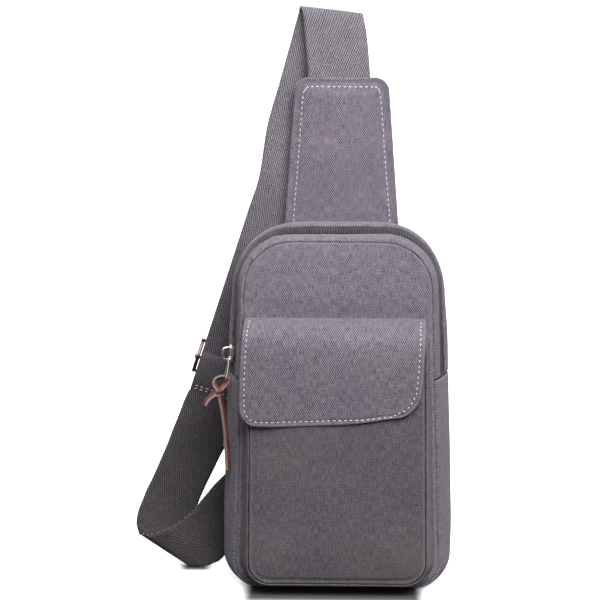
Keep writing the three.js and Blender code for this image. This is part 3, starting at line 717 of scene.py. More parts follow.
top = {"lift": 0.0078, "backLift": 0.0022, "crest": -0.011, "peak": 0.006, "fall": 0.35}


def bandMesh(name, band, push, material, thickness):
    columns, rows = band["columns"], band["rows"]
    formAt = band.get("formAt", bodyFormAt)
    depths, runs = [], []
    for row in range(rows + 1):
        y = band["yBack"] + (band["yFront"] - band["yBack"]) * endsCloser(row / rows)
        form = shrink(formAt(y), band.get("depth", 0))
        runs.append(outlineRun(form, band["start"](form), band["end"](form) + band.get("wrap", 0), columns))
        depths.append(y)
    length = runs[0][-1][4]

    def place(u, w):
        row = round(w * rows)
        x, z, nx, nz, along = runs[row][round(u * columns)]
        out = push(x, depths[row], z, along, length - along)
        return raised(Vector((x + nx * out, depths[row], z + nz * out)))

    obj = clothGrid(name, columns, rows, place, lambda u, w: (u * length, depths[round(w * rows)]), material,
                    lambda spot: Vector((spot.x, 0, spot.z - 0.14)))
    return thicken(obj, thickness) if thickness else obj


stitch = {"pitch": 0.0044, "length": 0.0024, "width": 0.0011, "height": 0.0007}


def surfaceOf(obj):
    bm = bmesh.new()
    bm.from_mesh(obj.data)
    tree = BVHTree.FromBMesh(bm)
    bm.free()
    return tree


# a row of stitches on a cloth's surface, along each line of points
def sew(name, cloth, lines, material, size=None):
    size = {**stitch, **(size or {})}
    surface = surfaceOf(cloth)
    bm = bmesh.new()
    for line in lines:
        count = max(2, round(pathLength(line) / size["pitch"]))
        spots = evenly(line, count)
        for i in range(count):
            middle = (spots[i] + spots[i + 1]) / 2
            spot, normal, _, _ = surface.find_nearest(middle)
            along = spots[i + 1] - spots[i]
            along = (along - normal * along.dot(normal)).normalized()
            side = normal.cross(along)
            turn = Matrix((along, side, normal)).transposed().to_4x4()
            shape = Matrix.Diagonal((size["length"] / 2, size["width"] / 2, size["height"] / 2, 1))
            place = Matrix.Translation(spot + normal * size["height"] * 0.15)
            bmesh.ops.create_uvsphere(bm, u_segments=6, v_segments=4, radius=1,
                                      matrix=place @ turn @ shape @ Matrix.Rotation(math.pi / 2, 4, "Y"))
    return meshFrom(name, bm, material)


zipper = {
    "endHeight": 0.175, "centre": -0.0205, "opening": 0.0125, "tapeHalf": 0.011, "tapeThickness": 0.0007,
    "toothPitch": 0.0021, "toothLength": 0.0021, "spread": (0.0012, 0.0034), "coilDepth": 0.0012,
    "tapeDepth": 0.0024, "frontEdge": -0.0268,
}
rearZip = {
    "low": 0.092, "high": 0.225, "centre": 0.03, "split": 0.00045, "toothLength": 0.0024,
    "spread": (0.0014,), "coilDepth": -0.0004,
}


# the stuffed sides stand out a little between the corners, and never below the base
def sideBulge(x, y, z):
    upright = smoothStep(abs(x), 0.05, 0.08) * smoothStep(z, 0.012, 0.06) * (1 - smoothStep(z, 0.2, 0.25))
    between = max(0, 1 - ((y - 0.004) / 0.034) ** 2)
    return body["bulge"] * upright * between


creases = {"puckerDepth": 0.00055, "puckerSize": 0.008, "puckerReach": 0.006, "waveDepth": 0.0007,
           "waveSize": 0.045, "waveReach": 0.012}


# puckers along a seam and slow waves over the cloth
def crumple(x, y, z, fromSeam, seed):
    away = max(fromSeam, 0)
    near = math.exp(-away / creases["puckerReach"])
    pucker = creases["puckerDepth"] * near * ripple(x, y, z, creases["puckerSize"], seed)
    calm = 1 - math.exp(-away / creases["waveReach"])
    wave = creases["waveDepth"] * calm * ripple(x, y, z, creases["waveSize"], seed + 9)
    return pucker + wave


def makeGussets():
    zipBack = zipper["centre"] + zipper["opening"] / 2

    def lower(x, y, z, before, after):
        seam = min(body["backRound"] - y, y - body["front"], before, after)
        lifted = smoothStep(z, 0.004, 0.02)
        return (sideBulge(x, y, z) + crumple(x, y, z, seam, 3) * lifted - rolled(y - body["front"], 0.0016)
                - rolled(body["backRound"] - y, 0.0012) - rolled(min(before, after), 0.0012))

    obj = bandMesh("lowerGusset", {
        "start": leftAt(zipper["endHeight"]), "end": rightAt(zipper["endHeight"]), "wrap": 9,
        "yBack": body["backRound"], "yFront": body["front"], "columns": 190, "rows": 26,
    }, lower, canvas, cloth["canvas"])
    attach(obj, "bag_body")
    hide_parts("lower_gusset")

    def upper(x, y, z, before, after):
        seam = min(body["backRound"] - y, y - zipBack)
        return (sideBulge(x, y, z) + crumple(x, y, z, seam, 5) - rolled(y - zipBack, 0.0015)
                - rolled(body["backRound"] - y, 0.0012) - rolled(min(before, after), 0.0012))

    obj = bandMesh("upperGusset", {
        "start": rightAt(zipper["endHeight"] + 0.0003), "end": leftAt(zipper["endHeight"] + 0.0003),
        "yBack": body["backRound"], "yFront": zipBack, "columns": 150, "rows": 20,
    }, upper, canvas, cloth["canvas"])
    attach(obj, "bag_body")
    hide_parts("upper_gusset")

    def binding(x, y, z, before, after):
        return (crumple(x, y, z, y - body["backRound"], 7) * smoothStep(z, 0.006, 0.02)
                - rolled(body["back"] - y, 0.0014) - rolled(y - body["backRound"], 0.0012))

    obj = bandMesh("backBinding", {
        "start": leftAt(rearZip["low"] - 0.0003), "end": leftAt(rearZip["high"] + 0.0003), "wrap": 9,
        "yBack": body["back"], "yFront": body["backRound"] + 0.0003, "columns": 230, "rows": 8,
    }, binding, canvas, cloth["canvas"])
    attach(obj, "bag_body")
    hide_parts("back_binding")

    obj = bandMesh("gussetLining", {
        "start": lambda form: 0.005, "end": lambda form: 8.995, "yBack": body["backRound"],
        "yFront": zipper["centre"] + zipper["tapeHalf"] + 0.0003, "depth": ply + 0.0006, "columns": 160,
        "rows": 8,
    }, lambda x, y, z, before, after: 0.0004 * ripple(x, y, z, 0.03, 21), lining, cloth["lining"])
    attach(obj, "bag_body")
    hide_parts("gusset_lining")


makeGussets()
print("gussets made")


front = {"dome": 0.0035, "reach": 0.05, "seamLine": 0.2235}


# how far the front panel stands forward of its seam
def panelDepth(x, z, form):
    inside = insideBy(form, x, z)
    t = min(max(inside / front["reach"], 0), 1)
    dome = front["dome"] * (1 - (1 - t) ** 2)
    valley = 1 - 0.75 * math.exp(-((z - front["seamLine"]) / 0.012) ** 2)
    return dome * valley - rolled(inside, 0.0022) + crumple(x, 0, z, inside, 11)


def panelMesh(name, form, y, depthAt, material, columns, rows, low=None, high=None, edgeWearAndHighlight=0.3):
    bottom = form["bottom"] if low is None else low
    top = form["top"] if high is None else high

    def spotAt(u, w):
        z = bottom + (top - bottom) * endsCloser(w, 0.8)
        return (2 * endsCloser(u, 0.35) - 1) * halfWidth(form, z), z

    def place(u, w):
        x, z = spotAt(u, w)
        return raised(Vector((x, y - depthAt(x, z), z)))

    # the cut edges take the paler colour: edge wear and a painted rim highlight
    def wearAndPaintedLight(u, w):
        return math.exp(-(insideBy(form, *spotAt(u, w)) / 0.0013) ** 2) * edgeWearAndHighlight

    return clothGrid(name, columns, rows, place, spotAt, material, lambda spot: Vector((0, -1, 0)), wearAndPaintedLight)


def acrossFold(obj):
    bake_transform(obj)


def makeFront():
    form = shrink(bodyFormAt(body["front"]), ply)
    obj = panelMesh("frontPanel", form, body["front"], lambda x, z: panelDepth(x, z, form), canvas, 84, 150)
    thicken(obj, cloth["canvas"])
    acrossFold(obj)
    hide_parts("front_panel", "front_top_panel")

    inner = shrink(form, 0.001)
    obj = panelMesh("frontLining", inner, body["front"] + ply + 0.0012,
                    lambda x, z: 0.0006 * ripple(x, 0, z, 0.03, 23), lining, 50, 90)
    thicken(obj, cloth["lining"])
    acrossFold(obj)
    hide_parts("front_lining", "front_top_lining")

    zipFront = zipper["frontEdge"]

    def strip(x, y, z, before, after):
        seam = min(y - body["front"], zipFront - y)
        return (crumple(x, y, z, seam, 15) - rolled(y - body["front"], 0.0016) - rolled(zipFront - y, 0.0015)
                - rolled(min(before, after), 0.0012))

    obj = bandMesh("frontStrip", {
        "start": rightAt(zipper["endHeight"] + 0.0003), "end": leftAt(zipper["endHeight"] + 0.0003),
        "yBack": zipFront, "yFront": body["front"], "columns": 170, "rows": 10,
    }, strip, canvas, cloth["canvas"])
    acrossFold(obj)
    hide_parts("front_strip_top", "front_strip_left", "front_strip_right")


makeFront()


def toothRow(name, way, outline, coil):  # the humps of one coil, in two lines round an outline
    bm = bmesh.new()
    for line, apart in enumerate(coil["spread"]):
        y = coil["centre"] + way * apart
        form = shrink(bodyFormAt(y), coil["coilDepth"])
        start, end = outline[0](form), outline[1](form)
        fine = [outlinePoint(form, start + (end - start) * k / 400) for k in range(401)]
        length = pathLength([Vector((*spot, 0)) for spot in fine])
        count = round(length / zipper["toothPitch"])
        run = outlineRun(form, start, end, count * 2)
        shape = Matrix.Diagonal((zipper["toothPitch"] * 0.38, coil["toothLength"] / 2, 0.0009, 1))
        for i in range(count):
            x, z, nx, nz, _ = run[min(2 * i + (line + (way > 0)) % 2, count * 2)]
            turn = Matrix(((nz, 0, nx, x), (0, 1, 0, y), (-nx, 0, nz, z), (0, 0, 0, 1)))
            bmesh.ops.create_uvsphere(bm, u_segments=8, v_segments=5, radius=1, matrix=turn @ shape)
    for vert in bm.verts:
        vert.co = raised(vert.co)
    return meshFrom(name, bm, coilNylon)


def makeZip():
    centre, half = zipper["centre"], zipper["tapeHalf"]
    arch = (rightAt(zipper["endHeight"] + 0.0003), leftAt(zipper["endHeight"] + 0.0003))
    for name, yBack, yFront, nodes in (
        ("zipTapeRear", centre + half, centre + 0.0005, ["zip_tape_rear"]),
        ("zipTapeFront", centre - 0.0005, zipper["frontEdge"] - 0.0025,
         ["zip_tape_front_top", "zip_tape_front_left", "zip_tape_front_right"]),
    ):
        obj = bandMesh(name, {
            "start": arch[0], "end": arch[1], "yBack": yBack, "yFront": yFront,
            "depth": zipper["tapeDepth"], "columns": 150, "rows": 6,
        }, lambda x, y, z, before, after: 0, zipTape, zipper["tapeThickness"])
        if name == "zipTapeFront":
            acrossFold(obj)
        else:
            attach(obj, "bag_body")
        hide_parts(*nodes)
    rear = toothRow("zipCoilRear", 1, arch, zipper)
    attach(rear, "bag_body")
    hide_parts("zip_coil_rear")
    near = toothRow("zipCoilFront", -1, arch, zipper)
    acrossFold(near)
    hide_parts("zip_coil_front_top", "zip_coil_front_left", "zip_coil_front_right")


makeZip()
print("front and zip made")


back = {
    "quilt": (-0.032, 0.032), "dip": 0.0016, "groove": 0.003, "pad": 0.0062, "lining": 0.0266,
    "slip": {"halfLow": 0.06, "halfHigh": 0.06, "bottom": 0.06, "top": 0.19, "cornerLow": 0.006,
             "cornerHigh": 0.001},
    "slipPlace": 0.0256, "slipSag": 0.0012,
}


def makeBack():
    form = shrink(bodyFormAt(body["back"]), ply)

    def puff(x, z):
        inside = insideBy(form, x, z)
        dips = sum(math.exp(-((x - line) / back["groove"]) ** 2) for line in back["quilt"])
        dips *= smoothStep(inside, 0.01, 0.03)
        return (-rolled(inside, 0.003) - back["dip"] * min(dips, 1) - 0.0005
                + 0.0004 * ripple(x, 0, z, 0.05, 31))

    obj = panelMesh("backPad", form, body["back"], lambda x, z: -puff(x, z), canvas, 90, 120)
    obj.data.flip_normals()
    thicken(obj, back["pad"])
    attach(obj, "bag_body")
    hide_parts("back_panel", "back_foam", "rear_pocket_lining")
    lines = [[Vector((x, body["back"] + 0.002, 0.02 + 0.235 * k / 40)) for k in range(41)]
             for x in back["quilt"]]
    seams = sew("backStitches", obj, lines, darkThread)
    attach(seams, "bag_body")

    inner = shrink(bodyFormAt(0), 0.005)
    obj = panelMesh("backLining", inner, back["lining"], lambda x, z: 0.0006 * ripple(x, 0, z, 0.03, 25),
                    lining, 60, 90)
    thicken(obj, cloth["lining"])
    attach(obj, "bag_body")
    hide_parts("back_lining")

    obj = panelMesh("slipPocket", back["slip"], back["slipPlace"],
                    lambda x, z: back["slipSag"] * smoothStep(insideBy(back["slip"], x, z), 0, 0.03),
                    lining, 40, 50)
    thicken(obj, cloth["lining"])
    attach(obj, "bag_body")
    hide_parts("slip_pocket")
    hem = [[Vector((-0.058, 0.02, 0.182)), Vector((0.058, 0.02, 0.182))],
           [Vector((-0.057, 0.02, 0.185)), Vector((-0.057, 0.02, 0.064)), Vector((0.057, 0.02, 0.064)),
            Vector((0.057, 0.02, 0.185))]]
    seams = sew("slipStitches", obj, hem, paleThread, {"length": 0.0026, "width": 0.0007})
    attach(seams, "bag_body")


makeBack()


def makeRearZip():
    tapes = (("rearZipTapeBack", 0.0345, rearZip["centre"] + rearZip["split"], "rear_zip_tape_back"),
             ("rearZipTapeFront", rearZip["centre"] - rearZip["split"], 0.0243, "rear_zip_tape_front"))
    for name, yBack, yFront, node in tapes:
        obj = bandMesh(name, {
            "start": leftAt(rearZip["high"]), "end": leftAt(rearZip["low"]), "yBack": yBack, "yFront": yFront,
            "depth": 0.0003, "columns": 60, "rows": 4,
        }, lambda x, y, z, before, after: 0, zipTape, 0.0006)
        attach(obj, "bag_body")
        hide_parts(node)
    ends = (leftAt(rearZip["high"]), leftAt(rearZip["low"]))
    for name, side, node in (("rearCoilBack", 1, "rear_zip_coil_back"),
                             ("rearCoilFront", -1, "rear_zip_coil_front")):
        obj = toothRow(name, side, ends, rearZip)
        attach(obj, "bag_body")
        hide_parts(node)


makeRearZip()
print("back made")


pocket = {
    "half": 0.073, "flareLow": 0.006, "flareHigh": 0.002, "bottom": 0.010, "mouth": 0.208, "corner": 0.018,
    "back": -0.0363, "face": -0.058, "dome": 0.004, "sag": 0.0018,
}


def pocketFormAt(y):
    back = min(max((y - pocket["face"]) / (pocket["back"] - pocket["face"]), 0), 1)
    edgeShare = max(0, (pocket["face"] + 0.006 - y) / 0.006) ** 2
    form = {"halfLow": pocket["half"] + pocket["flareLow"] * back,
            "halfHigh": pocket["half"] - 0.004 + pocket["flareHigh"] * back,
            "bottom": pocket["bottom"] - 0.002 * back, "top": 0.290, "cornerLow": pocket["corner"],
            "cornerHigh": 0.001}
    return shrink(form, edgeShare * 0.0015)


def makePocket():
    edge = pocketFormAt(pocket["face"])
    form = shrink(edge, 0.0006)

    def depthAt(x, z):
        inside = insideBy(form, x, z)
        t = min(max(inside / 0.04, 0), 1)
        dome = pocket["dome"] * (1 - (1 - t) ** 2)
        groove = 0.0007 * math.exp(-((inside - 0.0035) / 0.0016) ** 2)
        return dome - rolled(inside, 0.0016) - groove + 1.3 * crumple(x, 0, z, inside, 41)

    obj = panelMesh("pocketFront", form, pocket["face"], depthAt, pocketPaintedShadeCanvas, 90, 120,
                    high=pocket["mouth"], edgeWearAndHighlight=1)
    thicken(obj, cloth["canvas"])
    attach(obj, "bag_body")
    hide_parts("pocket_front", "pocket_hem")
    frontCloth = obj

    def side(x, y, z, before, after):
        fromFace = y - pocket["face"]
        ridge = 0.0008 * math.exp(-(fromFace / 0.0016) ** 2)
        valley = 0.0006 * math.exp(-((fromFace - 0.004) / 0.002) ** 2)
        slack = (math.sin(math.pi * min(max((fromFace - 0.004) / 0.018, 0), 1))
                 * smoothStep(abs(x), 0.055, 0.07))
        return (ridge - valley - pocket["sag"] * slack
                + 1.2 * crumple(x, y, z, fromFace, 43) * smoothStep(z, 0.008, 0.03))

    obj = bandMesh("pocketGusset", {
        "formAt": pocketFormAt, "start": leftAt(pocket["mouth"]), "end": rightAt(pocket["mouth"]), "wrap": 9,
        "yBack": pocket["back"], "yFront": pocket["face"], "columns": 190, "rows": 16,
    }, side, pocketPaintedShadeCanvas, cloth["canvas"])
    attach(obj, "bag_body")
    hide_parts("pocket_gusset")

    inset = shrink(form, 0.0035)
    stop = rightAt(pocket["mouth"] - 0.002)(inset) + 9
    start = leftAt(pocket["mouth"] - 0.002)(inset)
    line = [Vector((*outlinePoint(inset, start + (stop - start) * k / 300), 0)) for k in range(301)]
    line = [Vector((spot.x, pocket["face"] - 0.012, spot.y)) for spot in line]
    seams = sew("pocketStitches", frontCloth, [line], darkThread, {"length": 0.0028, "width": 0.0008,
                                                                   "height": 0.0005})
    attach(seams, "bag_body")


makePocket()

flap = {
    "left": 0.0715, "leftLow": 0.0762, "right": 0.0705, "rightLow": 0.0640, "corner": 0.014,
    "rise": (0.0024, 0.0066), "tilt": 0.0034,
    "profile": [(-0.0365, 0.2234), (-0.0445, 0.2222), (-0.0525, 0.2196), (-0.0582, 0.2138), (-0.0602, 0.2045),
                (-0.0609, 0.19), (-0.0611, 0.165), (-0.0604, 0.1432)],
    "centre": -0.0012,
    "thickness": 0.0024, "inset": 0.0038,
}
flapLine = alongPath([Vector((0, y, z)) for y, z in flap["profile"]], 400)
flapLength = pathLength(flapLine)


# a point on the flap's inner face, by the distances across and down from the hinge, and the way it faces
def flapAt(x, down):
    k = min(max(down / flapLength * 400, 0), 399.999)
    i = int(k)
    spot = flapLine[i].lerp(flapLine[i + 1], k - i)
    along = (flapLine[i + 1] - flapLine[i]).normalized()
    out = Vector((0, along.z, -along.y))
    droop = smoothStep(abs(x), 0.05, 0.078) * smoothStep(down, 0.02, 0.05)
    lift = 0.0014 * math.sin(math.pi * min(down / flapLength, 1)) + 0.0012 * smoothStep(down, 0.075, 0.1)
    wave = crumple(x, 0, down, min(0.075 - abs(x), flapLength - down) + 0.004, 51)
    spot = spot + out * (lift - 0.0016 * droop + wave * smoothStep(down, 0, 0.01))
    share = smoothStep(down, 0, 0.02) * (1 - smoothStep(down, 0.03, flapLength))
    lower = flap["tilt"] * share * smoothStep(x, -0.075, 0.075)
    return Vector((x + flap["centre"], spot.y, spot.z - lower)), out


def flapHalf(side, down):
    t = min(down / flapLength, 1)
    if side < 0:
        return flap["left"] + (flap["leftLow"] - flap["left"]) * math.sin(t * math.pi * 0.62)
    return flap["right"] + (flap["rightLow"] - flap["right"]) * t ** 1.8


def flapDrop(x):  # it is cut shorter to the right
    gentle, last = flap["rise"]
    return flapLength - gentle * smoothStep(x, -0.07, 0.02) - last * smoothStep(x, 0.005, 0.08)


def flapCorner(side):
    return flap["corner"] * (1 if side < 0 else 1.35)


def flapSheet(name, out, inset, thickness, material):
    def spotAt(u, w):
        side = 2 * endsCloser(u, 0.3) - 1
        down = endsCloser(w, 0.5)
        corner = flapCorner(side)
        length = flapDrop(side * flapHalf(side, down * flapLength)) - inset
        rest = (1 - down) * length
        short = max(0, corner - rest)
        half = flapHalf(side, down * length) - inset - corner + math.sqrt(max(corner ** 2 - short ** 2, 0))
        return side * half, down * length, min(half * (1 - abs(side)), rest)

    def place(u, w):
        x, down, edge = spotAt(u, w)
        spot, way = flapAt(x, down)
        groove = 0.0006 * math.exp(-((edge - flap["inset"]) / 0.0014) ** 2) * smoothStep(down, 0.004, 0.02)
        return spot + way * (out - rolled(edge, 0.0014) * 0.9 - groove)

    # the flap's cut edges take the paler colour: edge wear and a painted rim highlight
    def wearAndPaintedLight(u, w):
        return math.exp(-(spotAt(u, w)[2] / 0.0012) ** 2) * 0.9

    obj = clothGrid(name, 90, 76, place, lambda u, w: spotAt(u, w)[:2], material,
                    lambda spot: Vector((0, -0.6, 0.2)), wearAndPaintedLight)
    return thicken(obj, thickness)


def acrossFlap(obj):
    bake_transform(obj)


def makeFlap():
    outer = flapSheet("flapOuter", flap["thickness"], 0, 0.0014, flapPaintedShadeCanvas)
    inner = flapSheet("flapLining", 0.0009, 0.001, 0.0007, lining)
    rows = []
    inset = flap["inset"]
    for side in (-1, 1):
        corner = flapCorner(side)
        length = flapDrop(side * 0.068)
        points = [(side * (flapHalf(side, down) - inset), down) for down in
                  (0.006 + (length - corner - 0.006) * k / 30 for k in range(31))]
        turn = corner - inset
        middle = side * (flapHalf(side, length) - corner)
        points += [(middle + side * turn * math.cos(a), length - corner + turn * math.sin(a))
                   for a in (k * math.pi / 24 for k in range(1, 12))]
        rows.append(points)
    bottom = []
    left, right = rows[0][-1][0], rows[1][-1][0]
    for k in range(41):
        x = left + (right - left) * k / 40
        bottom.append((x, flapDrop(x) - inset))
    flat = rows[0] + bottom + rows[1][::-1]
    line = []
    for x, down in flat:
        spot, way = flapAt(x, down)
        line.append(spot + way * 0.0026)
    seams = sew("flapStitches", outer, [line], paleThread)
    for obj in (outer, inner, seams):
        acrossFlap(obj)
    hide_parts("flap_outer")
    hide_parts("flap_lining")


makeFlap()


# a round piece whose profile of (radius, height) is turned about the Y axis
def spunDisc(name, profile, centre, material):
    bm = bmesh.new()
    rim = [bm.verts.new((radius, height, 0)) for radius, height in profile]
    edges = [bm.edges.new(pair) for pair in zip(rim, rim[1:])]
    bmesh.ops.spin(bm, geom=rim + edges, cent=(0, 0, 0), axis=(0, 1, 0), steps=32, angle=2 * math.pi,
                   use_merge=True)
    bmesh.ops.remove_doubles(bm, verts=bm.verts, dist=1e-6)
    bmesh.ops.recalc_face_normals(bm, faces=bm.faces)
    bmesh.ops.translate(bm, vec=centre, verts=bm.verts)
    return meshFrom(name, bm, material)


def makeSnap():
    low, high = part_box("snap_socket")
    centre = (low + high) / 2
    cap = [(0, -0.0005), (0.0024, -0.0005), (0.003, 0.0001), (0.0044, 0.0001), (0.005, -0.0005),
           (0.007, -0.0005),
           (0.008, 0.0001), (0.0078, 0.0005), (0, 0.0005)]
    obj = spunDisc("snapSocket", cap, centre, silver)
    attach(obj, "bag_body")
    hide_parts("snap_socket")
    low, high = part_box("snap_stud")
    centre = (low + high) / 2
    stud = [(0, 0.0006), (0.0028, 0.0006), (0.0034, 0.0001), (0.0066, 0.0002), (0.0078, -0.0002),
            (0.0076, -0.0006),
            (0, -0.0006)]
    obj = spunDisc("snapStud", stud, centre, silver)
    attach(obj, "pocket_flap")
    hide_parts("snap_stud")


makeSnap()
print("pocket and flap made")


pad = {
    "centre": 0.002, "bottom": 0.262, "top": 0.408, "halfLow": 0.0485, "halfHigh": 0.0385, "corner": 0.012,
    "middle": 0.0405, "thickness": 0.0086, "edge": 0.0036, "inset": 0.0042,
}


def makePad():
    form = {"halfLow": pad["halfLow"], "halfHigh": pad["halfHigh"], "bottom": pad["bottom"],
            "top": pad["top"],
            "cornerLow": 0.001, "cornerHigh": pad["corner"]}

    def halfThickness(x, z):
        inside = insideBy(form, x, z)
        swell = smoothStep(inside, pad["inset"] * 0.6, pad["inset"] + 0.011)
        full = pad["edge"] + (pad["thickness"] - pad["edge"]) * swell
        groove = 0.0006 * math.exp(-((inside - pad["inset"]) / 0.0016) ** 2)
        return full / 2 - groove - rolled(inside, 0.0014) * 0.8

    bm = bmesh.new()
    weave = bm.loops.layers.uv.new("cloth")
    for way in (-1, 1):
        sheet = bmesh.ops.create_grid(bm, x_segments=60, y_segments=84, size=0.5)["verts"]
        for vert in sheet:
            z = pad["bottom"] + (pad["top"] - pad["bottom"]) * endsCloser(vert.co.y + 0.5, 0.7)
            x = (2 * endsCloser(vert.co.x + 0.5, 0.5) - 1) * halfWidth(form, z)
            bend = crumple(x, way, z, insideBy(form, x, z), 61) * 0.6
            vert.co = Vector((x + pad["centre"], pad["middle"] + way * (halfThickness(x, z) + bend), z))
        for face in {face for vert in sheet for face in vert.link_faces}:
            for loop in face.loops:
                loop[weave].uv = loop.vert.co.xz
    rims = [edge for edge in bm.edges if edge.is_boundary]
    bmesh.ops.bridge_loops(bm, edges=rims)
    bmesh.ops.recalc_face_normals(bm, faces=bm.faces)
    obj = meshFrom("strapPad", bm, canvas)
    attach(obj, "bag_body")
    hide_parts("pad_front", "pad_foam", "pad_back")
    inset = shrink(form, pad["inset"])
    start, stop = rightAt(pad["bottom"] + 0.004)(inset), leftAt(pad["bottom"] + 0.004)(inset)
    lines = []
    for way in (-1, 1):
        flat = [outlinePoint(inset, start + (stop - start) * k / 200) for k in range(201)]
        lines.append([Vector((x + pad["centre"], pad["middle"] + way * 0.012, z)) for x, z in flat])
    seams = sew("padStitches", obj, lines, paleThread)
    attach(seams, "bag_body")


makePad()


strap = {"width": 0.05, "thickness": 0.0018, "angle": 18, "plane": 0.0515, "buckleX": -0.09, "buckleZ": 0.17,
         "tail": 0.058, "step": 0.0012, "crease": (0.82, 0.02, -0.565), "drop": -0.005,
         "patch": (0.024, 0.056), "patchTurn": -34, "patchHem": 0.0025}
lean = math.radians(strap["angle"])


def onStrap(up, out=0.0):
    return Vector((strap["buckleX"] + up * math.sin(lean), strap["plane"] + out,
                   strap["buckleZ"] + up * math.cos(lean)))


def strapPiece(name, rows, material=webbing, wearAndPaintedLight=None, waves=0.00012):
    spots = [Vector(row[0]) for row in rows]
    count = round(pathLength(alongPath(spots, 200)) / strap["step"])
    path = alongPath(spots, count)
    marks = []
    for spot in spots:
        marks.append(min(range(len(path)), key=lambda i: (path[i] - spot).length_squared))
    marks[0], marks[-1] = 0, count
    sides = []
    for i in range(count + 1):
        k = max(j for j in range(len(marks) - 1) if marks[j] <= i)
        share = (i - marks[k]) / max(marks[k + 1] - marks[k], 1)
        share = share * share * (3 - 2 * share)
        sides.append(Vector(rows[k][1]).lerp(Vector(rows[k + 1][1]), share))
    obj = ribbonMesh(name, path, sides, strap["width"], strap["thickness"], material, 16, waves, wearAndPaintedLight=wearAndPaintedLight)
    return obj, path


